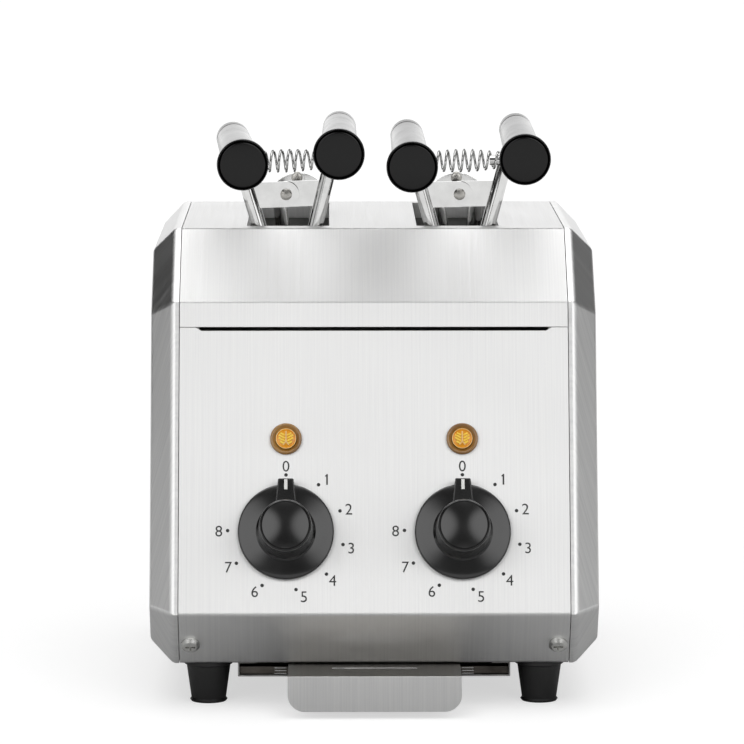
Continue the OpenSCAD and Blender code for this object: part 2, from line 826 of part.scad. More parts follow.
module knob(side) {
  skirt_r = knob_skirt_d / 2;
  skirt_h = 5.2;
  hub_r = knob_cap_d / 2 + 1.3;
  cap_r = knob_cap_d / 2;
  lug_end = skirt_r + 2.1;
  lug_h = 10.4;
  lug_w = 7.7;
  lug_root = 13.8;
  color("#161616")
    on_panel(side * control_pitch / 2, timer_at)
      difference() {
        union() {
          rotate_extrude($fn = 96)
            polygon(concat(
              [[0, knob_lift], [skirt_r - 0.6, knob_lift], [skirt_r, knob_lift + 0.6],
                [skirt_r, skirt_h - 1.2], [skirt_r - 1, skirt_h], [hub_r + 1, skirt_h + 0.8],
                [hub_r, skirt_h + 1.8]],
              [for (q = [0 : 15 : 90])
                [cap_r - knob_round + knob_round * cos(q), knob_h - 0.5 - knob_round + knob_round * sin(q)]],
              [[cap_r * 0.5, knob_h - 0.1], [0, knob_h]]));
          translate([0, 0, knob_lift])
            linear_extrude(height = lug_h - knob_lift)
              polygon([
                [-lug_root / 2, 0], [-lug_root / 2, hub_r - 2], [-lug_w / 2, lug_end - 1],
                [-lug_w / 2 + 1, lug_end], [lug_w / 2 - 1, lug_end], [lug_w / 2, lug_end - 1],
                [lug_root / 2, hub_r - 2], [lug_root / 2, 0]]);
        }
        cylinder(d = nut_d + 5, h = bush_h + 1.5);
        cylinder(d = shaft_d + 0.04, h = shaft_out + 0.2);
      }
}

module lamp_bezel(side) {
  lip = 2.2;
  color("saddlebrown")
    on_panel(side * control_pitch / 2, lamp_at)
      difference() {
        union() {
          translate([0, 0, 0.05]) cylinder(d = bezel_d, h = lip - 0.8);
          translate([0, 0, lip - 0.75]) cylinder(d1 = bezel_d, d2 = bezel_d - 1.2, h = 0.8);
          translate([0, 0, -lamp_depth]) cylinder(d = lamp_barrel_d, h = lamp_depth + 0.1);
        }
        translate([0, 0, -4]) cylinder(d = lens_d + 2 * seat, h = lip + 5);
      }
}

module lamp_lens(side) {
  color("gold")
    on_panel(side * control_pitch / 2, lamp_at)
      translate([0, 0, -3.8])
        rotate_extrude()
          polygon([
            [0, 0], [lens_d / 2, 0], [lens_d / 2, 5.6], [lens_d / 2 - 0.6, 6.4], [lens_d / 4, 6.9], [0, 7]]);
}

module terminal_block() {
  size = [20, 42, 16];
  from_chamber = 6;
  from_slot_rear = 70;
  at = [tray_opening[0] / 2 + from_chamber, slot_rear - from_slot_rear, floor_top + 0.1];
  ways = 4;
  way_pitch = 10;
  way_d = 5;
  first_way = (size[1] - (ways - 1) * way_pitch) / 2;
  color("white")
    difference() {
      translate(at) cube(size);
      for (i = [0 : ways - 1])
        translate(at + [size[0] / 2, first_way + i * way_pitch, size[2] / 2])
          cylinder(d = way_d, h = size[2]);
    }
}

module cable_gland() {
  flange_h = 3;
  flange_d = gland_thread_d + 8;
  thread_in = 12;
  lock_nut_h = 4;
  panel_gap = 0.1;
  color("#202020")
    on_rear(gland_x, gland_z)
      difference() {
        union() {
          translate([0, 0, panel_gap]) cylinder(d = flange_d, h = flange_h);
          cylinder(d1 = gland_thread_d + 5, d2 = gland_thread_d, h = gland_reach);
          translate([0, 0, -thread_in]) cylinder(d = gland_thread_d, h = thread_in + beyond);
          translate([0, 0, -sheet - panel_gap - lock_nut_h]) cylinder(d = flange_d, h = lock_nut_h, $fn = 6);
        }
        translate([0, 0, -thread_in - beyond])
          cylinder(d = cord_d + 0.4, h = gland_reach + thread_in + 3 * beyond);
        difference() {
          translate([0, 0, -sheet - panel_gap]) cylinder(d = 2 * flange_d, h = sheet + 2 * panel_gap);
          translate([0, 0, -sheet - beyond]) cylinder(d = gland_thread_d, h = sheet + 2 * beyond);
        }
      }
}

// Tongs. Each pair has its own frame: its origin is the front rivet, its Y runs to the rear rivet.
// A bend or tip is [sideways, up] from the rivet.
function shift_of(side) = side < 0 ? left_shift : right_shift;
function yaw_of(side) = side < 0 ? left_yaw : right_yaw;
function roll_of(side) = side < 0 ? left_roll : right_roll;

module in_tongs(side) {
  translate([side * slot_x + shift_of(side), pivot_y, pivot_z])
    rotate([0, 0, -yaw_of(side)])
      rotate([0, -roll_of(side), 0])
        children();
}

// Sideways place of an arm's axis at a height, from its bend and its place at the deck
function arm_slope(bend) = (abs(bend[0]) - throat_half) / (bend[1] + pivot_rise);
function arm_x(bend, z) = sign(bend[0]) * (throat_half + (z + pivot_rise) * arm_slope(bend));
function shoulder_z(bend) = -pivot_rise - (throat_half - cage_half) / arm_slope(bend);

module jaw(side, bend, tip) {
  hand = sign(bend[0]);
  cage_x = hand * cage_half;
  low = -cage_drop;
  grip_dir = unit([tip[0] - bend[0], -grip_len - rod_r, tip[1] - bend[1]]);
  elbow = [bend[0], 0, bend[1]];
  shoulder = [cage_x, 0, shoulder_z(bend)];
  arm_top = elbow + unit(elbow - shoulder) * (tang_d / 2 + 0.8);
  ear_y = hand < 0 ? -ear_t - 0.1 : 0.1;
  color("silver")
    in_tongs(side) {
      difference() {
        union() {
          bent_rod([
            arm_top, shoulder, [cage_x, 0, low], [cage_x, pivot_gap, low],
            [cage_x, pivot_gap, -pivot_rise - 24], [hand * rear_leg_half, pivot_gap, rear_leg_top]], rod_d);
          along(elbow, grip_dir) cylinder(d = tang_d, h = grip_len - 4);
          translate([0, ear_y, 0])
            rotate([-90, 0, 0]) {
              cylinder(r = ear_r, h = ear_t);
              translate([hand < 0 ? arm_x(bend, 0) : 0, -ear_r, 0])
                cube([abs(arm_x(bend, 0)), 2 * ear_r, ear_t]);
            }
          translate([0, pivot_gap + ear_y, 0])
            rotate([-90, 0, 0])
              intersection() {
                translate([0, rear_ear_r - rear_ear_rise, 0]) cylinder(r = rear_ear_r, h = ear_t);
                translate([hand < 0 ? -rear_ear_half : -rivet_head_r - 1, -rear_ear_rise, 0])
                  cube([rear_ear_half + rivet_head_r + 1, rear_ear_rise - rear_ear_low, ear_t]);
              }
          spring_pin(bend);
        }
        for (y = [0, pivot_gap])
          translate([0, y - 5 * ear_t, 0])
            rotate([-90, 0, 0]) cylinder(r = rivet_r + running, h = 10 * ear_t);
      }
    }
}

// Pin on an arm that centres the end of the spring
module spring_pin(bend) {
  hand = sign(bend[0]);
  pin_d = spring_end_d - 2 * spring_wire - 1;
  pin_len = 5;
  flank = arm_x(bend, spring_rise) - hand * rod_r;
  translate([flank + hand, 0, spring_rise])
    rotate([0, -hand * 90, 0]) cylinder(d = pin_d, h = pin_len + 1);
}

module lattice(side, hand) {
  low = -cage_drop + rod_r + 0.2;
  high = -pivot_rise - 34;
  span_in = rod_r + 0.2;
  upright_pitch = (pivot_gap - 2 * span_in) / (lattice_uprights + 1);
  level_pitch = (high - low - 6) / lattice_levels;
  layer = lattice_wire * 0.8;
  color("silver")
    in_tongs(side)
      translate([hand * cage_half, 0, 0]) {
        for (i = [1 : lattice_uprights])
          translate([0, span_in + i * upright_pitch, low]) cylinder(d = lattice_wire, h = high - low);
        for (i = [0 : lattice_levels])
          translate([-hand * layer, span_in, low + 3 + i * level_pitch])
            rotate([-90, 0, 0]) cylinder(d = lattice_wire, h = pivot_gap - 2 * span_in);
      }
}

module grip(side, bend, tip) {
  disc_r = grip_disc_d / 2;
  mouth_r = 10.25;
  far_r = 9;
  disc_h = 4;
  start = rod_r + 1;
  grip_dir = unit([tip[0] - bend[0], -grip_len - rod_r, tip[1] - bend[1]]);
  color("#141414")
    in_tongs(side)
      along([bend[0], 0, bend[1]] + grip_dir * start, grip_dir)
        difference() {
          rotate_extrude()
            polygon([
              [0, 0], [far_r - 2, 0], [far_r, 2], [mouth_r, grip_len - disc_h - 3],
              [disc_r - 1, grip_len - disc_h], [disc_r, grip_len - disc_h + 1],
              [disc_r, grip_len - 1], [disc_r - 1, grip_len], [0, grip_len]]);
          translate([0, 0, -beyond]) cylinder(d = tang_d + 0.2, h = grip_len - 3.5 - start + beyond);
        }
}

module rivets(side) {
  color("silver")
    in_tongs(side)
      for (y = [0, pivot_gap])
        translate([0, y, 0])
          rotate([-90, 0, 0]) {
            reach = ear_t + 0.2;
            translate([0, 0, -reach - rivet_head_h]) cylinder(r = rivet_r, h = 2 * (reach + rivet_head_h));
            translate([0, 0, -reach - rivet_head_h]) cylinder(r = rivet_head_r, h = rivet_head_h);
            translate([0, 0, reach]) cylinder(r = rivet_head_r, h = rivet_head_h);
          }
}

// Barrel spring between the arms, as one tube along its own path
spring_rings = 8;
spring_sides = 6;
function spring_end(bend) =
  arm_x(bend, spring_rise + spring_end_d / 2) - sign(bend[0]) * (rod_r / cos(atan(arm_slope(bend))) + slip);
function coil_point(from, to, s) =
  let (
    u = s / (spring_turns * spring_rings),
    end_r = (spring_end_d - spring_wire) / 2,
    mid_r = (spring_d - spring_wire) / 2,
    r = end_r + (mid_r - end_r) * sin(180 * u),
    a = 360 * s / spring_rings)
  [from + spring_wire + (to - from - 2 * spring_wire) * u, r * sin(a), spring_rise + r * cos(a)];
function spring_path(from, to) = concat(
  [coil_point(from, to, 0) - [spring_wire, 0, 0]],
  [for (s = [0 : spring_turns * spring_rings]) coil_point(from, to, s)],
  [coil_point(from, to, spring_turns * spring_rings) + [spring_wire, 0, 0]]);
function least_gap(path, wire) =
  min([
    for (i = [0 : len(path) - 1], j = [i + 5 : 1 : min(i + 12, len(path) - 1)])
      norm(path[i] - path[j])]) - wire;

// Tube of a few flat sides along a path that winds round the X axis at the spring's height
module wound_tube(path, d) {
  n = len(path);
  rings = [
    for (i = [0 : n - 1])
      let (
        dir = unit(path[min(i + 1, n - 1)] - path[max(i - 1, 0)]),
        out = [0, path[i][1], path[i][2] - spring_rise],
        side = unit(out - dir * (out * dir)),
        over = cross(dir, side))
      for (k = [0 : spring_sides - 1])
        path[i] + d / 2 * (side * cos(360 * k / spring_sides) + over * sin(360 * k / spring_sides))];
  walls = [
    for (i = [0 : n - 2], k = [0 : spring_sides - 1])
      let (
        a = i * spring_sides + k,
        b = i * spring_sides + (k + 1) % spring_sides)
      each [[a, b, a + spring_sides], [b, b + spring_sides, a + spring_sides]]];
  last = (n - 1) * spring_sides;
  ends = [
    for (k = [1 : spring_sides - 2])
      each [[0, k + 1, k], [last, last + k, last + k + 1]]];
  polyhedron(points = rings, faces = [for (f = concat(walls, ends)) [f[2], f[1], f[0]]], convexity = 10);
}

module spring(side, left_bend, right_bend) {
  path = spring_path(spring_end(left_bend), spring_end(right_bend));
  echo("least gap between turns, mm", least_gap(path, spring_wire));
  color("lightgray") in_tongs(side) wound_tube(path, spring_wire);
}

control_panel();
top_cover();
rear_panel();
side_cover(-1);  // left_side_cover
side_cover(1);  // right_side_cover
side_frame(-1);  // left_side_frame
side_frame(1);  // right_side_frame
base_plate();
front_chamber_wall();
rear_chamber_wall();
left_reflector();
centre_reflector();
right_reflector();
heater_bank(-1, -1);  // left_outer_heaters
heater_bank(-1, 1);  // left_inner_heaters
heater_bank(1, -1);  // right_inner_heaters
heater_bank(1, 1);  // right_outer_heaters
left_wire_guards();
right_wire_guards();
left_wire_rest();
right_wire_rest();
tray_housing();
crumb_tray();
rubber_foot(-1, low_edge[0] + foot_inset);  // front_left_foot
rubber_foot(1, low_edge[0] + foot_inset);  // front_right_foot
rubber_foot(-1, rear_edge[0] - foot_inset);  // rear_left_foot
rubber_foot(1, rear_edge[0] - foot_inset);  // rear_right_foot
foot_screws();
front_screws();
rear_screws();
timer(-1);  // left_timer
timer(1);  // right_timer
timer_shaft(-1);  // left_timer_shaft
timer_shaft(1);  // right_timer_shaft
timer_nuts();
knob(-1);  // left_knob
knob(1);  // right_knob
lamp_bezel(-1);  // left_lamp_bezel
lamp_bezel(1);  // right_lamp_bezel
lamp_lens(-1);  // left_lamp_lens
lamp_lens(1);  // right_lamp_lens
terminal_block();
cable_gland();
jaw(-1, left_outer_bend, left_outer_tip);  // left_tongs_outer_jaw
jaw(-1, left_inner_bend, left_inner_tip);  // left_tongs_inner_jaw
lattice(-1, -1);  // left_tongs_outer_lattice
lattice(-1, 1);  // left_tongs_inner_lattice
grip(-1, left_outer_bend, left_outer_tip);  // left_tongs_outer_grip
grip(-1, left_inner_bend, left_inner_tip);  // left_tongs_inner_grip
rivets(-1);  // left_tongs_rivets
spring(-1, left_outer_bend, left_inner_bend);  // left_tongs_spring
jaw(1, right_outer_bend, right_outer_tip);  // right_tongs_outer_jaw
jaw(1, right_inner_bend, right_inner_tip);  // right_tongs_inner_jaw
lattice(1, 1);  // right_tongs_outer_lattice
lattice(1, -1);  // right_tongs_inner_lattice
grip(1, right_outer_bend, right_outer_tip);  // right_tongs_outer_grip
grip(1, right_inner_bend, right_inner_tip);  // right_tongs_inner_grip
rivets(1);  // right_tongs_rivets
spring(1, right_inner_bend, right_outer_bend);  // right_tongs_spring
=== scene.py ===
# Looks of a two-slot countertop toaster with two pairs of sandwich tongs.
# Sizes, profiles and points of paths are millimetres, and meshes are in the scene's metres.
# X runs right, Y back and Z up, from the bench.
import json
import math

import bmesh
import bpy
from mathutils import Matrix, Vector


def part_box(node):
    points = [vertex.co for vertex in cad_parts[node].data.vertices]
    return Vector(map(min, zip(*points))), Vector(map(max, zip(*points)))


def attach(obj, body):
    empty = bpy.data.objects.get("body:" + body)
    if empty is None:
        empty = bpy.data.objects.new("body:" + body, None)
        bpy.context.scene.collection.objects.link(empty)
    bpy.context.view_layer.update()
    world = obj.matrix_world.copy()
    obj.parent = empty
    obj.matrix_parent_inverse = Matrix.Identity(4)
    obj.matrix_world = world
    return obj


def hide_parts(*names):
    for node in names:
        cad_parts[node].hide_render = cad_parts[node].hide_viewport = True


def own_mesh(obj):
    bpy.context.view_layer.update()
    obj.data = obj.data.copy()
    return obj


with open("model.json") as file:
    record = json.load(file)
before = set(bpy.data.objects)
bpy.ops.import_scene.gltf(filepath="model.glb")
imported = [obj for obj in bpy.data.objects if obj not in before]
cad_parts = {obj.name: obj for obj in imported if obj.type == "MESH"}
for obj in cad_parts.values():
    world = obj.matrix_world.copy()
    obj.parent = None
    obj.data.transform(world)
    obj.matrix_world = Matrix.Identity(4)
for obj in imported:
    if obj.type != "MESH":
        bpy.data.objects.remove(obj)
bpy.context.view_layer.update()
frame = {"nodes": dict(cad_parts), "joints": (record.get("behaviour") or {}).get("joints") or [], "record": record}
nodes = frame["nodes"]
joints = {joint["name"]: joint for joint in frame["joints"]}
slot_of = {part["node"]: part["material_slot"] for part in frame["record"]["subparts"]}

MM = 0.001
SIDES = {"left": -1, "right": 1}

# Housing, seen from the side: tilts from upright, the shoulder's rise from level, lengths
PANEL_TILT = math.radians(17)
UNDERCUT_TILT = math.radians(35)
SHOULDER_RISE = math.radians(39.4)
UNDERCUT_LEN = 36.2
PANEL_LEN = 169
SHOULDER_LEN = 56.2
DECK_LEN = 177
FOOT_H = 23

# Side covers: width of the bevel, rounding of its folds, strip at the open edge that stays sharp
COVER_BEVEL = 12
COVER_FOLD_R = 1.8
COVER_OPEN_EDGE = 1

# Crumb tray, from its front: end of the lip, end of the tongue, and the wall with the short painted vent
# reflections
LIP_END = 2
TONGUE_END = 34
PAN_WALL = 43.7
TONGUE_TOP = 22.7

# Controls: distance between the dials, places up the panel from its lower bend, gap under a knob,
# thickness of the dials' print
CONTROL_PITCH = 94
TIMER_AT = 44.1
LAMP_AT = 94.4
KNOB_LIFT = 0.8
PRINT_T = 0.04

# Tongs, in their own frame: the origin is on the front rivet, Y runs to the rear one, Z up
ROD_D = 8
ROD_BEND = 8
TANG_D = 6.4
PIVOT_RISE = 17
PIVOT_GAP = 115
THROAT_HALF = 15.6
CAGE_HALF = 8
CAGE_DROP = 120
EAR_T = 2
EAR_GAP = 0.1
EAR_R = 7
GRIP_LEN = 106
GRIP_DISC_D = 27.2
SPRING_RISE = 18.4

# How near a vertex has to be to a line or a face to count as on it
ON_LINE = 0.05


def mm(*lengths):
    """A point given in millimetres, as a vector in metres."""
    return Vector([length * MM for length in lengths])


# The lower bend of the control panel, found from the knobs' turning axis
knob_base = Vector(joints["left_timer_turn"]["pos_m"])
panel_up = Vector((0, math.sin(PANEL_TILT), math.cos(PANEL_TILT)))
panel_out = Vector((0, -math.cos(PANEL_TILT), math.sin(PANEL_TILT)))
low_bend = Vector((0, knob_base.y, knob_base.z)) - panel_up * TIMER_AT * MM


def section_points():
    """Corners of the housing's side view, as y and z, from its bottom edge forwards and up."""
    y, z = low_bend.y / MM, low_bend.z / MM
    low_edge = (y + UNDERCUT_LEN * math.sin(UNDERCUT_TILT), FOOT_H)
    high = (y + PANEL_LEN * math.sin(PANEL_TILT), z + PANEL_LEN * math.cos(PANEL_TILT))
    deck = (high[0] + SHOULDER_LEN * math.cos(SHOULDER_RISE),
            high[1] + SHOULDER_LEN * math.sin(SHOULDER_RISE))
    rear = (deck[0] + DECK_LEN, deck[1])
    return [low_edge, (y, z), high, deck, rear, (rear[0], FOOT_H)]


section = section_points()


# Camera: film width and lens, place from the panel's lower bend, turns from level and from
# straight ahead, and how far it sees, in metres
FILM_W = 36
LENS = 222.6
CAMERA_FROM_BEND = (-21.2, -2404.5, 422.8)
PITCH_DOWN = math.radians(6.95)
HEADING = math.radians(-0.473)
SIGHT_M = 100


def add_camera():
    """The photograph's view: a long lens, a little to the left, looking slightly down."""
    data = bpy.data.cameras.new("camera")
    data.sensor_width = FILM_W
    data.lens = LENS
    data.clip_end = SIGHT_M
    camera = bpy.data.objects.new("camera", data)
    camera.location = low_bend + mm(*CAMERA_FROM_BEND)
    camera.rotation_euler = (math.radians(90) - PITCH_DOWN, 0, HEADING)
    bpy.context.scene.collection.objects.link(camera)
    bpy.context.scene.camera = camera
    bpy.context.scene.view_settings.view_transform = "Standard"


# Materials
def linear(hex_code):
    """A linear colour from an sRGB hex value."""
    parts = [int(hex_code[i:i + 2], 16) / 255 for i in (1, 3, 5)]
    return [p / 12.92 if p <= 0.04045 else ((p + 0.055) / 1.055) ** 2.4 for p in parts] + [1.0]


def add_node(tree, kind, inputs=None, **settings):
    """Adds a shader node with its settings and links. Each input is another node's output, or a
    value. A setting is a property, a socket's name with underscores for its spaces, or the stops
    of a colour ramp, as pairs of a position and a hex colour."""
    node = tree.nodes.new(kind)
    for name, value in settings.items():
        socket = name.replace("_", " ")
        if name == "stops":
            for element, (position, hex_code) in zip(node.color_ramp.elements, value):
                element.position = position
                element.color = linear(hex_code)
        elif socket in node.inputs:
            node.inputs[socket].default_value = value
        else:
            setattr(node, name, value)
    for name, source in (inputs or {}).items():
        if isinstance(source, bpy.types.NodeSocket):
            tree.links.new(source, node.inputs[name])
        else:
            node.inputs[name].default_value = source
    return node


def new_material(name):
    material = bpy.data.materials.new(name)
    material.use_nodes = True
    tree = material.node_tree
    tree.nodes.clear()
    return material, tree


def pattern_point(tree, *steps_mm):
    """Object coordinates, stretched so that one unit is one pattern step along X, Y and Z."""
    place = add_node(tree, "ShaderNodeTexCoord")
    mapping = add_node(tree, "ShaderNodeMapping", {"Vector": place.outputs["Object"]},
                       Scale=[1 / (step * MM) for step in steps_mm])
    return mapping.outputs["Vector"]


# Way of the brushed grain: up the sheets, and tipped back so that level sheets have one too
GRAIN_WAY = (0, 0.3, 1)


def brushed_stainless(name, across, tone, rough, streak):
    """Stainless sheet brushed with an abrasive belt. The lines are counted along the axis across,
    and streak is how far they draw a reflection out, square to themselves."""
    # Real lines are about 0.1 mm apart, too fine to show here, so they are drawn 0.9 mm apart
    line_gap, line_length, line_depth, cloud = 0.9, 90, 0.02, 70
    material, tree = new_material(name)
    steps = [line_gap if axis == across else line_length for axis in "XYZ"]
    lines = add_node(tree, "ShaderNodeTexNoise", {"Vector": pattern_point(tree, *steps)},
                     Scale=1.0, Detail=3.0, Roughness=0.6).outputs["Fac"]
    clouds = add_node(tree, "ShaderNodeTexNoise",
                      {"Vector": pattern_point(tree, cloud, cloud, cloud)}, Scale=1.0, Detail=2.0)
    base = add_node(tree, "ShaderNodeValToRGB", {"Fac": lines}, stops=zip((0.25, 0.75), tone))
    by_line = add_node(tree, "ShaderNodeMapRange", {"Value": lines}, From_Min=0.25, From_Max=0.75,
                       To_Min=rough - 0.05, To_Max=rough + 0.06)
    by_cloud = add_node(tree, "ShaderNodeMapRange", {"Value": clouds.outputs["Fac"]},
                        To_Min=-0.03, To_Max=0.03)
    roughness = add_node(tree, "ShaderNodeMath", {
        0: by_line.outputs["Result"], 1: by_cloud.outputs["Result"]}, operation="ADD")
    bump = add_node(tree, "ShaderNodeBump", {"Height": lines}, Strength=0.35,
                    Distance=line_depth * MM)
    surface = add_node(tree, "ShaderNodeNewGeometry")
    square = add_node(tree, "ShaderNodeVectorMath",
                      {0: surface.outputs["Normal"], 1: GRAIN_WAY}, operation="CROSS_PRODUCT")
    shader = add_node(tree, "ShaderNodeBsdfPrincipled", {
        "Base Color": base.outputs["Color"], "Roughness": roughness.outputs[0],
        "Normal": bump.outputs["Normal"], "Tangent": square.outputs["Vector"]},
        Metallic=1.0, Anisotropic=streak)
    add_node(tree, "ShaderNodeOutputMaterial", {"Surface": shader.outputs["BSDF"]})
    return material


def plain_metal(name, tone, rough, cloud=7.2):
    """Plated or rolled metal: smooth, with slight clouds and rub marks in its gloss. cloud is the
    size of one cloud."""
    rub_depth = 0.05
    material, tree = new_material(name)
    clouds = add_node(tree, "ShaderNodeTexNoise",
                      {"Vector": pattern_point(tree, cloud, cloud, cloud)},
                      Scale=1.0, Detail=4.0).outputs["Fac"]
    base = add_node(tree, "ShaderNodeValToRGB", {"Fac": clouds}, stops=zip((0.3, 0.7), tone))
    roughness = add_node(tree, "ShaderNodeMapRange", {"Value": clouds}, From_Min=0.3, From_Max=0.7,
                         To_Min=rough * 0.75, To_Max=rough * 1.35)
    bump = add_node(tree, "ShaderNodeBump", {"Height": clouds}, Strength=0.15,
                    Distance=rub_depth * MM)
    shader = add_node(tree, "ShaderNodeBsdfPrincipled", {
        "Base Color": base.outputs["Color"], "Roughness": roughness.outputs["Result"],
        "Normal": bump.outputs["Normal"]}, Metallic=1.0)
    add_node(tree, "ShaderNodeOutputMaterial", {"Surface": shader.outputs["BSDF"]})
    return material


def moulded_plastic(name, tone, rough, ior=1.5, grain=0.5, grain_depth=0.01, coat=0.0):
    """A moulded or fired skin: one colour with faint flow marks and a fine grain. grain is the
    size of a grain. A real one is under 0.1 mm, too fine to show, so it is drawn coarser."""
    flow_size = 14
    material, tree = new_material(name)
    flow = add_node(tree, "ShaderNodeTexNoise",
                    {"Vector": pattern_point(tree, flow_size, flow_size, flow_size)},
                    Scale=1.0, Detail=3.0).outputs["Fac"]
    skin = add_node(tree, "ShaderNodeTexNoise",
                    {"Vector": pattern_point(tree, grain, grain, grain)}, Scale=1.0, Detail=2.0)
    base = add_node(tree, "ShaderNodeValToRGB", {"Fac": flow}, stops=zip((0.3, 0.7), tone))
    roughness = add_node(tree, "ShaderNodeMapRange", {"Value": flow}, From_Min=0.3, From_Max=0.7,
                         To_Min=rough * 0.85, To_Max=rough * 1.2)
    bump = add_node(tree, "ShaderNodeBump", {"Height": skin.outputs["Fac"]}, Strength=0.3,
                    Distance=grain_depth * MM)
    shader = add_node(tree, "ShaderNodeBsdfPrincipled", {
        "Base Color": base.outputs["Color"], "Roughness": roughness.outputs["Result"],
        "Normal": bump.outputs["Normal"]}, IOR=ior, Coat_Weight=coat)
    add_node(tree, "ShaderNodeOutputMaterial", {"Surface": shader.outputs["BSDF"]})
    return material


# Panel, shoulder and deck: belt-brushed stainless sheet. It glows evenly, in upright silky streaks
stainless_front = brushed_stainless("brushed_stainless_upright_grain", "X",
                                    ("#dedede", "#ececeb"), 0.5, 0.75)
# Side covers: the same sheet, brushed finer. Each bevel turns light or dark as a whole
stainless_side = brushed_stainless("brushed_stainless_side_grain", "Y",
                                   ("#d2d2d2", "#e2e2e1"), 0.36, 0.3)
# Inner sheets, as rolled: a dull grey with hardly any shape in its reflections
mill_steel = plain_metal("mill_finish_steel", ("#8f8f8e", "#a5a5a3"), 0.38)
# Reflectors of rolled aluminium: pale, soft mirrors behind the tubes
bright_reflector = plain_metal("bright_rolled_aluminium", ("#b9b8b5", "#cfcecb"), 0.25)
# The tray's pan: blotches from black to a warm grey. They are heat tint from the tubes, darkened to black as
# painted shade of its recess under the housing
pan_tint_shade_steel = plain_metal("pan_heat_tint_painted_shade", ("#262422", "#6e6963"), 0.42, cloud=26.4)
# The tray's tongue: smooth steel whose tone is darker than the lip's, as painted shade of the dark gap above it.
# It also mirrors that gap
tongue_shade_steel = plain_metal("tongue_steel_painted_shade", ("#908e8b", "#a19f9b"), 0.16)
# Guards, lattices and rivets in nickel: a warm grey with soft lights
nickel_wire = plain_metal("nickel_plated_wire", ("#a8a6a2", "#bdbbb6"), 0.3)
# Arms of the tongs in polished chrome: sharp lines of black and white
chrome = plain_metal("polished_chrome", ("#cfcfce", "#dededd"), 0.09)
# Raised lines on the tray in a bright metal: thin bright lines that are painted reflections of light shining
# through the vent slots in the base
vent_reflection_metal = plain_metal("painted_vent_reflection_metal", ("#cdcdcc", "#e0e0df"), 0.2)
# Screws in nickel: small clear lights on round heads
nickel_screw = plain_metal("nickel_plated_screw", ("#c9c9c6", "#dadad7"), 0.2)
# Drawn spring wire: a bright line along every turn
spring_steel = plain_metal("drawn_spring_steel", ("#b4b4b3", "#cccccb"), 0.16)
# Bushes and nuts of the timers in turned brass: yellow with soft lights
turned_brass = plain_metal("turned_brass", ("#a8863f", "#bd9a4e"), 0.25)
# Knobs in phenolic resin: deep black with soft grey lights under a clear skin
black_knob = moulded_plastic("glossy_black_phenolic", ("#050505", "#090909"), 0.2, grain=0.8,
                             coat=0.5)
# Grips in thermoset plastic: black discs, and barrels that mirror the bright ceiling
black_grip = moulded_plastic("glossy_black_thermoset", ("#040404", "#070707"), 0.18, ior=1.36,
                             grain=0.8)
# Feet in moulded rubber: a matt black that only shows its edges
foot_rubber = moulded_plastic("moulded_black_rubber", ("#0c0c0c", "#151515"), 0.5,
                              grain_depth=0.04)
# Timer cases in moulded polyamide: dark grey, half matt
timer_case = moulded_plastic("grey_timer_case", ("#2c2c2e", "#38383a"), 0.45)
# Cable gland in nylon: black with a waxy sheen
gland_nylon = moulded_plastic("black_nylon", ("#0f0f10", "#18181a"), 0.42)
# Terminal block in unglazed ceramic: a chalky off-white
ceramic = moulded_plastic("unglazed_ceramic", ("#d9d5cb", "#e6e2d8"), 0.6)
# Dial marks in screen printing ink: flat and nearly black
printed_ink = moulded_plastic("screen_printed_ink", ("#1c1c1c", "#242424"), 0.45)
# The pointer's line, filled with paint: flat white
white_paint = moulded_plastic("white_filled_line", ("#e9e9e6", "#f4f4f1"), 0.45)
# Lamp bezels in amber polycarbonate over a dark hole: brown, with wet-looking lights
bezel_amber = moulded_plastic("amber_bezel_plastic", ("#7a5222", "#a0773a"), 0.16, coat=0.8)
# Lenses in amber polycarbonate: a bright warm orange
lens_amber = moulded_plastic("amber_lens_plastic", ("#e09010", "#f0a81c"), 0.2, coat=0.5)
# Ribs in the lenses: painted light, a yellow lit copy of the amber plastic where the ribs catch the light
lens_yellow = moulded_plastic("lit_lens_ribs", ("#ffcf2c", "#ffe25c"), 0.22, coat=0.5)
# Rim and upright of the lenses: painted light, a pale peach lit copy of the amber plastic where the light comes
# through
lens_pale = moulded_plastic("pale_lens_rim", ("#f0c070", "#f8d48c"), 0.22, coat=0.5)
# Heating tubes in milky quartz: a pale warm grey with sharp lights
quartz = moulded_plastic("quartz_tube", ("#b7b2aa", "#cbc6be"), 0.15)

SLOT_MATERIALS = {
    "brushed_steel": stainless_front,
    "inner_steel": mill_steel,
    "reflector_steel": bright_reflector,
    "quartz": quartz,
    "plated_wire": nickel_wire,
    "chrome_rod": chrome,
    "foot_rubber": foot_rubber,
    "screw_steel": nickel_screw,
    "timer_case": timer_case,
    "brass": turned_brass,
    "knob_plastic": black_knob,
    "bezel_amber": bezel_amber,
    "lens_amber": lens_amber,
    "terminal_ceramic": ceramic,
    "gland_nylon": gland_nylon,
    "grip_plastic": black_grip,
    "spring_steel": spring_steel,
}


def dress_nodes():
    """Gives every CAD node the material of its slot."""
    for node, slot in slot_of.items():
        mesh = nodes[node].data
        mesh.materials.clear()
        mesh.materials.append(SLOT_MATERIALS[slot])


# Floor, in metres: its size, and the distances from the middle between which its reflection turns
# from its own tone to white
FLOOR_SIZE = 30
FLOOR_NEAR = 0.25
FLOOR_FAR = 0.9
# Glow added to what the camera sees of the floor
FLOOR_LIFT = 0.6


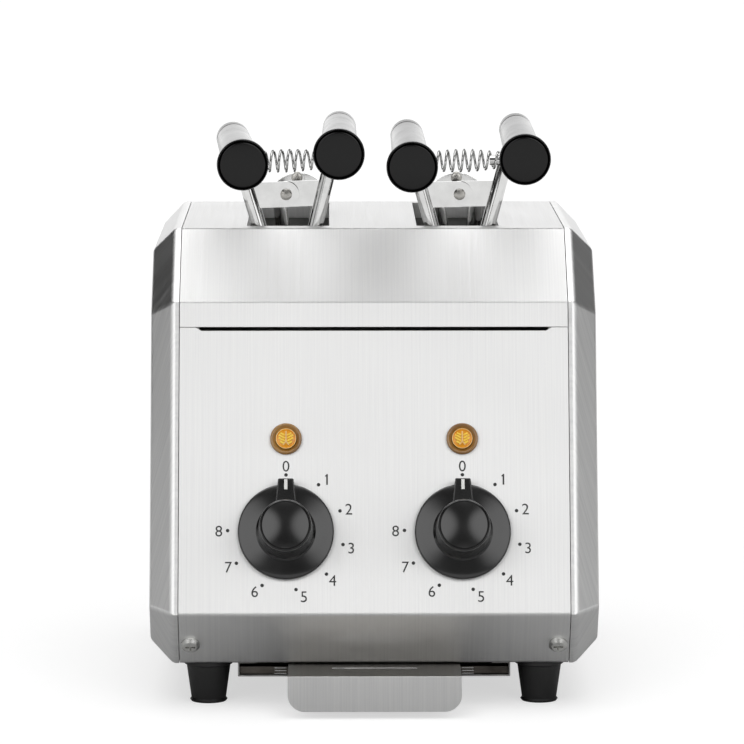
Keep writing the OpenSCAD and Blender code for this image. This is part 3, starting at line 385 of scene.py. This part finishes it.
def add_floor():
    """A plain pale floor with the object's shadow. What the camera sees of it is lifted towards
    white, and so are its far parts in reflections. Near the object, reflections of it keep its own
    tone."""
    bpy.ops.object.select_all(action="DESELECT")
    bpy.ops.mesh.primitive_plane_add(size=FLOOR_SIZE)
    floor = bpy.context.object
    floor.name = "floor"
    material, tree = new_material("pale_floor")
    rays = add_node(tree, "ShaderNodeLightPath")
    place = add_node(tree, "ShaderNodeTexCoord")
    away = add_node(tree, "ShaderNodeVectorMath", {0: place.outputs["Object"]}, operation="LENGTH")
    far = add_node(tree, "ShaderNodeMapRange", {"Value": away.outputs["Value"]},
                   From_Min=FLOOR_NEAR, From_Max=FLOOR_FAR)
    seen_in = add_node(tree, "ShaderNodeMath", {
        0: rays.outputs["Is Glossy Ray"], 1: rays.outputs["Is Transmission Ray"]},
        operation="MAXIMUM")
    reflected = add_node(tree, "ShaderNodeMath", {
        0: seen_in.outputs[0], 1: far.outputs["Result"]}, operation="MULTIPLY")
    lifted = add_node(tree, "ShaderNodeMath", {
        0: rays.outputs["Is Camera Ray"], 1: reflected.outputs[0]}, operation="MAXIMUM")
    glow = add_node(tree, "ShaderNodeMath", {0: lifted.outputs[0], 1: FLOOR_LIFT},
                    operation="MULTIPLY")
    emission = add_node(tree, "ShaderNodeEmission", {"Strength": glow.outputs[0]},
                        Color=(1, 1, 1, 1))
    diffuse = add_node(tree, "ShaderNodeBsdfDiffuse", Color=linear("#b4b4b4"))
    both = add_node(tree, "ShaderNodeAddShader", {0: emission.outputs[0], 1: diffuse.outputs[0]})
    add_node(tree, "ShaderNodeOutputMaterial", {"Surface": both.outputs[0]})
    floor.data.materials.append(material)


# Light of the room between the soft boxes
ROOM_LIGHT = 0.16
# Soft boxes and dark screens: strength, direction, and two angles from the middle, in degrees: the
# box is even up to the first and ends at the second
SOFT_BOXES = [
    (2.2, (0, -0.02, 1), 26, 40),  # ceiling
    (0.68, (-1, 0, 0.14), 16, 42),  # left
    (0.6, (1, 0, 0.14), 16, 42),  # right
    (2.0, (-0.47, -0.8, 0.38), 13, 25),  # front left
    (2.0, (0.47, -0.8, 0.38), 13, 25),  # front right
    (0.0, (-0.74, 0.51, 0.437), 31, 36),  # dark screen, mirrored in the left shoulder bevel
    (0.12, (0.74, 0.51, 0.437), 26, 35),  # dark screen, mirrored in the right shoulder bevel
    (0.5, (0, 0.62, 0.78), 5, 12),  # strip above the backdrop, mirrored in the deck
    (1.5, (0, 1, 0), 22, 34),  # backdrop
]


def add_studio():
    """Soft surroundings, painted on the world one box after the other."""
    world = bpy.data.worlds.new("studio")
    bpy.context.scene.world = world
    world.use_nodes = True
    tree = world.node_tree
    tree.nodes.clear()
    sky = add_node(tree, "ShaderNodeTexCoord").outputs["Generated"]
    light = ROOM_LIGHT
    for strength, direction, even_to, ends_at in SOFT_BOXES:
        toward = add_node(tree, "ShaderNodeVectorMath", {0: sky, 1: Vector(direction).normalized()},
                          operation="DOT_PRODUCT")
        mask = add_node(tree, "ShaderNodeMapRange", {"Value": toward.outputs["Value"]},
                        interpolation_type="SMOOTHSTEP",
                        From_Min=math.cos(math.radians(ends_at)),
                        From_Max=math.cos(math.radians(even_to)))
        painted = add_node(tree, "ShaderNodeMapRange",
                           {"Value": mask.outputs["Result"], "To Min": light}, To_Max=strength)
        light = painted.outputs["Result"]
    background = add_node(tree, "ShaderNodeBackground", {"Strength": light}, Color=(1, 1, 1, 1))
    add_node(tree, "ShaderNodeOutputWorld", {"Surface": background.outputs["Background"]})


# Modelling helpers
def select_only(*pieces):
    """Selects pieces and nothing else, and makes the first one active."""
    bpy.ops.object.select_all(action="DESELECT")
    for piece in pieces:
        piece.select_set(True)
    bpy.context.view_layer.objects.active = pieces[0]


def add_primitive(operator, name, **settings):
    """Adds a primitive with nothing else selected, and goes into edit mode with all of it
    selected."""
    bpy.ops.object.select_all(action="DESELECT")
    operator(**settings)
    piece = bpy.context.object
    piece.name = piece.data.name = name
    bpy.ops.object.mode_set(mode="EDIT")
    return piece


def pick(piece, mode, wanted):
    """Selects, in edit mode, only the vertices, edges or faces that wanted() says yes to."""
    bpy.ops.mesh.select_mode(type=mode)
    bpy.ops.mesh.select_all(action="DESELECT")
    mesh = bmesh.from_edit_mesh(piece.data)
    for element in {"VERT": mesh.verts, "EDGE": mesh.edges, "FACE": mesh.faces}[mode]:
        if wanted(element):
            element.select_set(True)
    mesh.select_flush_mode()
    bmesh.update_edit_mesh(piece.data)


def leave_edit(piece):
    bpy.ops.object.mode_set(mode="OBJECT")
    return piece


def apply_modifier(piece, kind, **settings):
    select_only(piece)
    modifier = piece.modifiers.new(kind.lower(), kind)
    for name, value in settings.items():
        setattr(modifier, name, value)
    bpy.ops.object.modifier_apply(modifier=modifier.name)


def ease_edges(piece, width):
    """Eases the cut edges of a sheet or a plate, the ones that are sharper than 60 degrees."""
    apply_modifier(piece, "BEVEL", width=width * MM, segments=2, limit_method="ANGLE",
                   angle_limit=math.radians(60))


def smooth(piece, angle=35):
    """Shades round surfaces smoothly, and keeps flat ones flat up to the rounding beside them."""
    select_only(piece)
    bpy.ops.object.shade_smooth_by_angle(angle=math.radians(angle))
    apply_modifier(piece, "WEIGHTED_NORMAL", keep_sharp=True, weight=100)


def joined(pieces, name):
    select_only(*pieces)
    bpy.ops.object.join()
    whole = bpy.context.object
    whole.name = whole.data.name = name
    return whole


def combine(piece, other, operation):
    """Unites a piece with another solid or keeps what both share. The other solid is used up."""
    apply_modifier(piece, "BOOLEAN", operation=operation, object=other, solver="EXACT")
    bpy.data.objects.remove(other)


def placed_copy(piece, name, matrix):
    """A copy with its own mesh, put in place within the mesh."""
    copy = piece.copy()
    copy.data = piece.data.copy()
    copy.name = copy.data.name = name
    bpy.context.scene.collection.objects.link(copy)
    copy.data.transform(matrix)
    return copy


def finish_piece(piece, material, body, slot, *replaced):
    """Gives a piece its material and body, and hides the CAD nodes that it stands for. slot is not used."""
    piece.data.materials.clear()
    piece.data.materials.append(material)
    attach(piece, body)
    if replaced:
        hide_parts(*replaced)


def turned(name, profile, sides=96):
    """A turned form, drawn up from ring to ring. Each ring is its radius and its height."""
    radius, height = profile[0]
    piece = add_primitive(bpy.ops.mesh.primitive_circle_add, name, vertices=sides,
                          radius=radius * MM, fill_type="NGON")
    bpy.ops.transform.translate(value=(0, 0, height * MM))
    for next_radius, next_height in profile[1:]:
        bpy.ops.mesh.extrude_region_move(
            TRANSFORM_OT_translate={"value": (0, 0, (next_height - height) * MM)})
        bpy.ops.transform.resize(value=(next_radius / radius, next_radius / radius, 1),
                                 center_override=(0, 0, next_height * MM))
        radius, height = next_radius, next_height
    bpy.ops.mesh.select_all(action="SELECT")
    bpy.ops.mesh.normals_make_consistent(inside=False)
    return leave_edit(piece)


def block(name, size, centre=(0, 0, 0), edge=0.0, segments=3):
    """A block with its edges rounded to a radius."""
    piece = add_primitive(bpy.ops.mesh.primitive_cube_add, name, size=1)
    bpy.ops.transform.resize(value=[length * MM for length in size], center_override=(0, 0, 0))
    bpy.ops.transform.translate(value=mm(*centre))
    if edge:
        bpy.ops.mesh.bevel(offset=edge * MM, segments=segments, affect="EDGES")
    return leave_edit(piece)


def frame_at(origin, z_axis, x_hint=Vector((1, 0, 0))):
    """A frame with its Z along z_axis and its X near x_hint."""
    z = Vector(z_axis).normalized()
    x = (x_hint - z * x_hint.dot(z)).normalized()
    matrix = Matrix((x, z.cross(x), z)).transposed().to_4x4()
    matrix.translation = origin
    return matrix


def on_panel(x, up):
    """The control panel's frame at a place: X right, Y up the panel, Z out of it."""
    return frame_at(low_bend + panel_up * up * MM + mm(x, 0, 0), panel_out)


def along_y(y, z=0, way=1):
    """A placing that lays a turned form's axis along Y, forwards or backwards by its way."""
    return Matrix.Translation(mm(0, y, z)) @ Matrix.Rotation(math.radians(-90 * way), 4, "X")


def bent_path(points, bend):
    """A path through points, with an arc of the radius bend in place of each corner that turns
    enough to show."""
    arc_steps, straight_turn = 6, 0.02
    path = [points[0]]
    for before, corner, after in zip(points, points[1:], points[2:]):
        into, out = (corner - before).normalized(), (after - corner).normalized()
        turn = into.angle(out)
        if not bend or turn < straight_turn:
            path.append(corner)
            continue
        start = corner - into * (bend * math.tan(turn / 2))
        centre = start + (out - into * into.dot(out)).normalized() * bend
        axis = into.cross(out).normalized()
        for step in range(arc_steps + 1):
            turned_by = Matrix.Rotation(turn * step / arc_steps, 3, axis)
            path.append(centre + turned_by @ (start - centre))
    return path + [points[-1]]


def round_rod(name, points, diameter, bend=0.0, facets=10):
    """A closed wire or rod along points. More facets make its round finer."""
    path = bent_path(points, bend)
    bpy.ops.object.select_all(action="DESELECT")
    bpy.ops.curve.primitive_nurbs_path_add()
    curve = bpy.context.object
    curve.data.splines.clear()
    spline = curve.data.splines.new("POLY")
    spline.points.add(len(path) - 1)
    for point, place in zip(spline.points, path):
        point.co = (*(place * MM), 1)
    curve.data.bevel_depth = diameter / 2 * MM
    curve.data.bevel_resolution = facets
    curve.data.use_fill_caps = True
    bpy.ops.object.convert(target="MESH")
    rod = bpy.context.object
    rod.name = rod.data.name = name
    bpy.ops.object.mode_set(mode="EDIT")
    bpy.ops.mesh.select_all(action="SELECT")
    bpy.ops.mesh.remove_doubles(threshold=0.001 * MM)
    bpy.ops.mesh.normals_make_consistent(inside=False)
    return leave_edit(rod)


# Sheet metal
def clean_copy(node, name):
    """A copy of a CAD node in edit mode, merged into flat faces with shared edges."""
    merge_within, flat_within = 0.002, 0.5
    copy = placed_copy(nodes[node], name, Matrix())
    copy.hide_render = False
    select_only(copy)
    bpy.ops.object.mode_set(mode="EDIT")
    bpy.ops.mesh.select_all(action="SELECT")
    bpy.ops.mesh.remove_doubles(threshold=merge_within * MM)
    bpy.ops.mesh.dissolve_limited(angle_limit=math.radians(flat_within))
    return copy


def folded_sheet(node, body, slot, material):
    """A pressed sheet with its folds shaded round and its cut edges eased."""
    sheet = leave_edit(clean_copy(node, f"{node}_sheet"))
    ease_edges(sheet, 0.2)
    smooth(sheet, 30)
    finish_piece(sheet, material, body, slot, node)
    return sheet


def darken_tray(tray):
    """Gives the tray's tongue and its pan their own darker finishes, which carry painted shade of the gap and the
    recess under the housing. The lip keeps the sheet's."""
    tongue, pan = 1, 2
    tray.data.materials.append(tongue_shade_steel)
    tray.data.materials.append(pan_tint_shade_steel)
    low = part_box("crumb_tray")[0]
    for face in tray.data.polygons:
        if face.center.y > low.y + TONGUE_END * MM:
            face.material_index = pan
        elif face.center.y > low.y + LIP_END * MM:
            face.material_index = tongue


def make_tray_beads():
    """Painted reflections of light through the base's vent slots, drawn as a raised line on the tray's tongue and
    three short ones on each side of it.
    """
    reflection_from_front, short_x, short_z, short_pitch = 24, 50.2, 16.2, 1.5
    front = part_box("crumb_tray")[0].y / MM
    vent_reflections = [block("tongue_vent_reflection", (45, 1.1, 0.5), (0, front + reflection_from_front, TONGUE_TOP),
                   edge=0.2)]
    for side in SIDES.values():
        for row in range(3):
            vent_reflections.append(block("pan_vent_reflection", (6.5, 0.5, 0.5),
                               (side * short_x, front + PAN_WALL, short_z + row * short_pitch),
                               edge=0.15, segments=2))
    vent_reflections = joined(vent_reflections, "crumb_tray_vent_reflections")
    finish_piece(vent_reflections, vent_reflection_metal, "tray", "brushed_steel")


def make_sheets():
    for node in ("control_panel", "top_cover", "rear_panel"):
        folded_sheet(node, "root", "brushed_steel", stainless_front)
    darken_tray(folded_sheet("crumb_tray", "tray", "brushed_steel", stainless_front))
    make_tray_beads()
    folded_sheet("tray_housing", "root", slot_of["tray_housing"], mill_steel)


def on_corner(vert):
    """Whether a vertex lies on a corner of the housing's side view."""
    y, z = vert.co.y / MM, vert.co.z / MM
    return any(math.hypot(y - corner[0], z - corner[1]) < ON_LINE for corner in section)


def on_section(vert):
    """Whether a vertex lies on the outline of the housing's side view."""
    past_end = 0.1
    y, z = vert.co.y / MM, vert.co.z / MM
    for (ya, za), (yb, zb) in zip(section, section[1:] + section[:1]):
        length = math.hypot(yb - ya, zb - za)
        off = abs((yb - ya) * (z - za) - (zb - za) * (y - ya)) / length
        along = ((yb - ya) * (y - ya) + (zb - za) * (z - za)) / length
        if off < ON_LINE and -past_end < along < length + past_end:
            return True
    return False


def make_side_cover(side_name, side):
    """A pressed side cover: its long folds are rounded, and its open edge stays sharp."""
    node = f"{side_name}_side_cover"
    cover = clean_copy(node, f"{side_name}_cover_shell")
    reach = [abs(corner.x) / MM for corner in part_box(node)]

    def on_fold(vert):
        """Whether a vertex is on the flat face, on a corner of the outline or on the bevel's
        rim."""
        x = side * vert.co.x / MM
        on_rim = abs(x - (max(reach) - COVER_BEVEL)) < ON_LINE and on_section(vert)
        on_skin = x > max(reach) - ON_LINE or on_corner(vert)
        return x > min(reach) + COVER_OPEN_EDGE and (on_skin or on_rim)

    pick(cover, "EDGE", lambda edge: all(on_fold(vert) for vert in edge.verts))
    bpy.ops.mesh.bevel(offset=COVER_FOLD_R * MM, segments=5, affect="EDGES", clamp_overlap=True)
    leave_edit(cover)
    smooth(cover, 25)
    finish_piece(cover, stainless_side, "root", "brushed_steel", node)


# Timers and lamps
def model_knob():
    """A skirted knob with a raised cap and a pointer lug, modelled upright at the origin."""
    skirt_r, hub_r, cap_r, height = 25.6, 15.0, 13.7, 30.0
    dome_rings = (12.2, 10.6, 8.9, 7.1, 5.3, 3.6, 2.0, 0.5)
    body = turned("knob_body", [
        (24.9, KNOB_LIFT), (skirt_r, 1.5), (skirt_r, 3.2), (25.3, 3.8), (24.7, 4.2), (21.6, 4.75),
        (18.4, 5.3), (hub_r + 0.9, 5.75), (hub_r, 6.6), (cap_r + 0.2, 26.9), (cap_r + 0.05, 27.7),
        (cap_r - 0.3, 28.2), (cap_r - 0.8, 28.45), (cap_r - 1.1, 28.1), (cap_r - 1.4, 28.1)]
        + [(radius, height - radius * radius / 100) for radius in dome_rings], sides=128)
    lug_w, lug_len, lug_h, tip_taper = 14.6, 27.7, 9.4, 0.56
    middle = mm(0, lug_len / 2, KNOB_LIFT + lug_h / 2)
    pointer = add_primitive(bpy.ops.mesh.primitive_cube_add, "knob_pointer", size=1)
    bpy.ops.transform.resize(value=mm(lug_w, lug_len, lug_h), center_override=(0, 0, 0))
    bpy.ops.transform.translate(value=middle)
    pick(pointer, "FACE", lambda face: face.normal.y > 0.9)
    bpy.ops.transform.resize(value=(tip_taper, 1, 1), center_override=(0, 0, 0))
    pick(pointer, "EDGE", lambda edge: all(vert.co.y > middle.y for vert in edge.verts)
         or all(vert.co.z > middle.z for vert in edge.verts))
    bpy.ops.mesh.bevel(offset=0.7 * MM, segments=4, affect="EDGES")
    leave_edit(pointer)
    knob = joined([body, pointer], "knob")
    smooth(knob, 30)
    return knob


def make_knobs():
    knob = model_knob()
    line = block("knob_line", (1.75, 5.4, 0.5), (0, 24.4, 10.05), edge=0.12, segments=2)
    for side_name, side in SIDES.items():
        place = on_panel(side * CONTROL_PITCH / 2, TIMER_AT)
        body = f"{side_name}_timer_knob"
        finish_piece(placed_copy(knob, f"{side_name}_knob_moulding", place), black_knob, body,
                     "knob_plastic", f"{side_name}_knob")
        finish_piece(placed_copy(line, f"{side_name}_knob_mark", place), white_paint, body,
                     "knob_plastic")
    bpy.data.objects.remove(knob)
    bpy.data.objects.remove(line)


def model_bezel():
    """A round bezel with a stepped, dished rim and the barrel behind it."""
    ring = turned("bezel_ring", [
        (5.9, -3.0), (5.9, 0.02), (8.2, 0.05), (8.5, 0.4), (8.5, 1.2), (8.3, 1.8), (7.9, 2.15),
        (7.5, 2.2), (7.1, 2.0), (6.6, 1.6), (6.1, 1.3), (5.75, 1.2), (5.65, -2.4)], sides=72)
    smooth(ring, 40)
    return ring


def model_lens():
    """A domed lens with a raised rim, modelled upright at the origin."""
    dome = turned("lens_dome", [
        (5.5, -3.8), (5.5, 1.7), (5.3, 2.2), (4.9, 2.35), (4.6, 1.9), (3.4, 2.05), (2.0, 2.15),
        (0.4, 2.2)], sides=72)
    smooth(dome)
    return dome


def model_lens_rim():
    """The pale ring on a lens's raised rim."""
    rim = turned("lens_rim", [(5.5, 1.7), (5.5, 2.2), (5.35, 2.4), (5.15, 2.35), (5.1, 1.9)],
                 sides=72)
    smooth(rim, 40)
    return rim


def lens_bar(size, foot, turn=0.0, side=1):
    """One moulded bar of a lens. It is turned by degrees about its foot, and side mirrors it."""
    middle_z = 2.35
    bar = block("lens_bar", size, (size[0] / 2, 0, middle_z), edge=0.14, segments=2)
    bar.data.transform(Matrix.Scale(side, 4, (1, 0, 0)) @ Matrix.Translation(mm(*foot, 0))
                       @ Matrix.Rotation(math.radians(turn), 4, "Z"))
    if side < 0:
        bar.data.flip_normals()
    return bar


def model_lens_ribs():
    """The slanting ribs on both sides of a lens, and the pale upright with its forked foot."""
    rib_slant, rib_w, lowest, pitch = 28, 0.95, -2.9, 1.55
    ribs, uprights = [], [lens_bar((0.8, 5.6, 0.6), (-0.4, 1.1))]
    for side in SIDES.values():
        for row, reach in enumerate((2.9, 3.7, 3.6, 2.6)):
            ribs.append(lens_bar((reach, rib_w, 0.6), (0.65, lowest + row * pitch), rib_slant,
                                 side))
        uprights.append(lens_bar((2.5, 0.7, 0.7), (0, -1.5), -52, side))
    return joined(ribs, "lens_ribs"), joined(uprights, "lens_uprights")


def make_lamps():
    bezel, lens, rim = model_bezel(), model_lens(), model_lens_rim()
    ribs, uprights = model_lens_ribs()
    for side_name, side in SIDES.items():
        lamp = f"{side_name}_lamp"
        place = on_panel(side * CONTROL_PITCH / 2, LAMP_AT)
        finish_piece(placed_copy(bezel, f"{lamp}_ring", place), bezel_amber, "root",
                     "bezel_amber", f"{lamp}_bezel")
        finish_piece(placed_copy(lens, f"{lamp}_dome", place), lens_amber, "root", "lens_amber",
                     f"{lamp}_lens")
        finish_piece(placed_copy(ribs, f"{lamp}_ribs", place), lens_yellow, "root", "lens_amber")
        finish_piece(placed_copy(uprights, f"{lamp}_uprights", place), lens_pale, "root",
                     "lens_amber")
        finish_piece(placed_copy(rim, f"{lamp}_rim", place), lens_pale, "root", "lens_amber")
    for pattern in (bezel, lens, rim, ribs, uprights):
        bpy.data.objects.remove(pattern)


def model_numeral(number):
    """One plain numeral as a thin raised print. The numeral one is drawn with a flag."""
    if number == 1:
        flag_slant = math.radians(36)
        stem = block("numeral", (1.2, 8, PRINT_T))
        flag = block("numeral_flag", (2.1, 0.85, PRINT_T), (-1.0, 0, 0.005))
        flag.data.transform(Matrix.Translation(mm(0.3, 3.5, 0))
                            @ Matrix.Rotation(flag_slant, 4, "Z"))
        return joined([stem, flag], "numeral")
    bpy.ops.object.select_all(action="DESELECT")
    bpy.ops.object.text_add()
    digit = bpy.context.object
    digit.data.body = str(number)
    digit.data.size = 10 * MM
    digit.data.extrude = PRINT_T / 2 * MM
    bpy.ops.object.convert(target="MESH")
    return digit


def on_dial(radius, turn, lift):
    """A place on a dial, turned clockwise in degrees from its top."""
    around = math.radians(90 - turn)
    return mm(radius * math.cos(around), radius * math.sin(around), lift)


def scaled_numeral(number, height, centre):
    """A numeral scaled to its height and moved to its centre."""
    digit = model_numeral(number)
    corners = [Vector(corner) for corner in digit.bound_box]
    low = Vector([min(corner[i] for corner in corners) for i in range(3)])
    high = Vector([max(corner[i] for corner in corners) for i in range(3)])
    fit = height * MM / (high.y - low.y)
    digit.data.transform(Matrix.Translation(centre) @ Matrix.Diagonal((fit, fit, 1, 1))
                         @ Matrix.Translation(-(low + high) / 2))
    return digit


def make_dials():
    """Printed minutes round each knob: nine dots and the numbers 0 to 8."""
    dot_from_axis, number_from_axis, step, height = 31.0, 35.7, 34, 5.8
    # Degrees clockwise by which each number stands beside its dot
    nudges = (0, 3, 1.5, 1.6, 0, -5.5, 3.6, 0.7, -0.7)
    for side_name, side in SIDES.items():
        marks = []
        for number, nudge in enumerate(nudges):
            dot = turned("dial_dot", [(0.95, 0.01), (0.95, 0.05)], sides=24)
            dot.data.transform(Matrix.Translation(on_dial(dot_from_axis, number * step, 0)))
            marks.append(dot)
            centre = on_dial(number_from_axis, number * step + nudge, 0.03)
            marks.append(scaled_numeral(number, height, centre))
        dial = joined(marks, f"{side_name}_dial_print")
        dial.data.transform(on_panel(side * CONTROL_PITCH / 2, TIMER_AT))
        finish_piece(dial, printed_ink, "root", "timer_case")


# Tongs
class Tongs:
    """One pair of tongs: its frame, leaning by roll degrees, and for each arm the x and z of the
    bend into the grip and of the grip's tip."""

    def __init__(self, side_name, roll, bends, tips):
        self.name = side_name
        pivot = joints[f"{side_name}_tongs_outer_squeeze"]
        up, rearward = Vector((0, 0, 1)), Vector(pivot["axis"])
        if rearward.y < 0:
            rearward = -rearward
        upright = frame_at(Vector(pivot["pos_m"]), up, rearward.cross(up))
        self.frame = upright @ Matrix.Rotation(math.radians(-roll), 4, "Y")
        self.bends = bends
        self.tips = tips

    def hand(self, half):
        """The side of the rivets that an arm is on: -1 is left, 1 is right."""
        return math.copysign(1, self.bends[half][0])

    def slope(self, half):
        """How far an arm leans outwards for each millimetre up."""
        bend = self.bends[half]
        return (abs(bend[0]) - THROAT_HALF) / (bend[1] + PIVOT_RISE)

    def arm_x(self, half, z):
        return self.hand(half) * (THROAT_HALF + (z + PIVOT_RISE) * self.slope(half))

    def grip_way(self, half):
        bend, tip = self.bends[half], self.tips[half]
        return Vector((tip[0] - bend[0], -GRIP_LEN - ROD_D / 2, tip[1] - bend[1])).normalized()


def make_front_ear(hand, reach, y):
    """A front ear: a plate with a round end about the rivet and a square end at the arm."""
    ear = turned("front_ear", [(EAR_R, 0), (EAR_R, EAR_T)], sides=64)
    arm_side = block("ear_arm", (reach, 2 * EAR_R, EAR_T), (hand * reach / 2, 0, EAR_T / 2))
    combine(ear, arm_side, "UNION")
    ease_edges(ear, 0.3)
    ear.data.transform(along_y(y))
    return ear


def make_rear_ear(hand, y):
    """A rear ear: a segment of a large disc, arched over the rear rivet."""
    disc_r, disc_z, tall, over_rivet = 18, -15.4, 15.6, 2.6
    out, past_rivet = 12.5, 4.2
    ear = turned("rear_ear", [(disc_r, 0), (disc_r, EAR_T)])
    ear.data.transform(along_y(y, disc_z))
    width = out + past_rivet
    kept = block("rear_ear_band", (width, 4 * EAR_T, tall),
                 (hand * (width / 2 - past_rivet), y + EAR_T / 2, over_rivet - tall / 2))
    combine(ear, kept, "INTERSECT")
    ease_edges(ear, 0.3)
    return ear


def make_jaw(tongs, half):
    """An arm bent from one chromed rod, with its tang, its ear plates and the spring's pin."""
    full_end, tang_clear, ear_into_rod = 8, 8, 1
    rear_below, rear_tip_x, rear_tip_z = 24, 11, -9
    pin_d, pin_len, pin_into_rod = 5.6, 5, 1
    bend, hand, way = tongs.bends[half], tongs.hand(half), tongs.grip_way(half)
    elbow = Vector((bend[0], 0, bend[1]))
    cage_x = hand * CAGE_HALF
    shoulder_z = -PIVOT_RISE - (THROAT_HALF - CAGE_HALF) / tongs.slope(half)
    rod = round_rod("arm_rod", [
        elbow + way * full_end, elbow, Vector((cage_x, 0, shoulder_z)),
        Vector((cage_x, 0, -CAGE_DROP)), Vector((cage_x, PIVOT_GAP, -CAGE_DROP)),
        Vector((cage_x, PIVOT_GAP, -PIVOT_RISE - rear_below)),
        Vector((hand * rear_tip_x, PIVOT_GAP, rear_tip_z))], ROD_D, bend=ROD_BEND)
    tang = round_rod("arm_tang", [elbow + way * (full_end - 1),
                                  elbow + way * (GRIP_LEN - tang_clear)], TANG_D)
    ear_y = -EAR_T - EAR_GAP if hand < 0 else EAR_GAP
    front_ear = make_front_ear(hand, abs(tongs.arm_x(half, 0)) - ear_into_rod, ear_y)
    rear_ear = make_rear_ear(hand, PIVOT_GAP + ear_y)
    flank = tongs.arm_x(half, SPRING_RISE) - hand * ROD_D / 2
    pin = round_rod("spring_pin", [Vector((flank + hand * pin_into_rod, 0, SPRING_RISE)),
                                   Vector((flank - hand * pin_len, 0, SPRING_RISE))], pin_d)
    jaw = joined([rod, tang, front_ear, rear_ear, pin], f"{tongs.name}_{half}_arm")
    jaw.data.transform(tongs.frame)
    smooth(jaw)
    finish_piece(jaw, chrome, f"{tongs.name}_tongs_{half}", "chrome_rod",
                 f"{tongs.name}_tongs_{half}_jaw")


def make_rivets(tongs):
    """The two rivets, front and rear, with domed heads on both sides."""
    heads = []
    reach = EAR_T + 2 * EAR_GAP
    for y in (0, PIVOT_GAP):
        for way in (-1, 1):
            head = turned("rivet_head", [(3.0, 0), (3.2, 0.25), (3.1, 0.6), (2.6, 1.0),
                                         (1.7, 1.25), (0.4, 1.35)], sides=40)
            head.data.transform(along_y(y + way * reach, way=way))
            heads.append(head)
        heads.append(round_rod("rivet_shank", [Vector((0, y - reach, 0)),
                                               Vector((0, y + reach, 0))], 4))
    rivets = joined(heads, f"{tongs.name}_tong_rivets")
    rivets.data.transform(tongs.frame)
    smooth(rivets)
    finish_piece(rivets, nickel_wire, f"{tongs.name}_tongs", "screw_steel",
                 f"{tongs.name}_tongs_rivets")


def make_grip(tongs, half):
    """A moulded grip: a stepped barrel that swells towards its end disc, which has a ring groove in
    its face."""
    disc_r, face = GRIP_DISC_D / 2, GRIP_LEN
    dome_rings = (11.2, 9.4, 7.5, 5.6, 3.7, 1.9, 0.5)
    grip = turned("grip", [
        (3.6, 5.0), (7.4, 5.0), (9.0, 6.2), (9.0, 13.5), (8.6, 14.2), (8.6, 15.0), (9.1, 15.7),
        (10.25, face - 9), (11.2, face - 5.6), (disc_r - 0.9, face - 4.4), (disc_r, face - 3.4),
        (disc_r, face - 1.1), (disc_r - 0.25, face - 0.6), (disc_r - 0.6, face - 0.5),
        (disc_r - 1.1, face - 1.7), (disc_r - 1.6, face - 0.9), (disc_r - 1.75, face - 0.62),
        (disc_r - 2.05, face - 0.5)]
        + [(radius, face - radius * radius / 300) for radius in dome_rings])
    bend = tongs.bends[half]
    grip.data.transform(tongs.frame @ frame_at(mm(bend[0], 0, bend[1]), tongs.grip_way(half)))
    grip.name = grip.data.name = f"{tongs.name}_{half}_handle"
    smooth(grip)
    finish_piece(grip, black_grip, f"{tongs.name}_tongs_{half}", "grip_plastic",
                 f"{tongs.name}_tongs_{half}_grip")


def make_spring(tongs):
    """A barrel-shaped compression spring between the arms, wound from one wire."""
    turns, rings = 9, 24
    wire, middle_d, end_d, end_gap = 1.4, 13.2, 9.8, 0.3
    ends = {}
    for half in tongs.bends:
        hand = tongs.hand(half)
        lean = math.cos(math.atan(tongs.slope(half)))
        arm_x = tongs.arm_x(half, SPRING_RISE + end_d / 2)
        ends[hand] = arm_x - hand * (ROD_D / 2 / lean + end_gap)
    start, finish = ends[-1] + wire, ends[1] - wire
    coil = []
    for step in range(turns * rings + 1):
        along = step / (turns * rings)
        radius = (end_d - wire) / 2 + (middle_d - end_d) / 2 * math.sin(math.pi * along)
        turn = 2 * math.pi * step / rings
        coil.append(Vector((start + (finish - start) * along, radius * math.sin(turn),
                            SPRING_RISE + radius * math.cos(turn))))
    lead = Vector((wire, 0, 0))
    coil = [coil[0] - lead] + coil + [coil[-1] + lead]
    spring = round_rod(f"{tongs.name}_tong_spring", coil, wire, facets=4)
    spring.data.transform(tongs.frame)
    smooth(spring, 60)
    finish_piece(spring, spring_steel, f"{tongs.name}_tongs", "spring_steel",
                 f"{tongs.name}_tongs_spring")
    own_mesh(spring)


add_camera()
dress_nodes()
add_floor()
add_studio()
make_sheets()
for side_name, side in SIDES.items():
    make_side_cover(side_name, side)
make_knobs()
make_lamps()
make_dials()
left_tongs = Tongs("left", 2, {"outer": (-28.4, 32.6), "inner": (30.5, 36.6)},
                   {"outer": (-15.8, 24), "inner": (34.5, 28)})
right_tongs = Tongs("right", 1, {"inner": (-28.5, 33.7), "outer": (30.9, 36)},
                    {"inner": (-26, 22.6), "outer": (33.4, 25.6)})
for tongs in (left_tongs, right_tongs):
    for half in ("outer", "inner"):
        make_jaw(tongs, half)
        make_grip(tongs, half)
    make_rivets(tongs)
    make_spring(tongs)
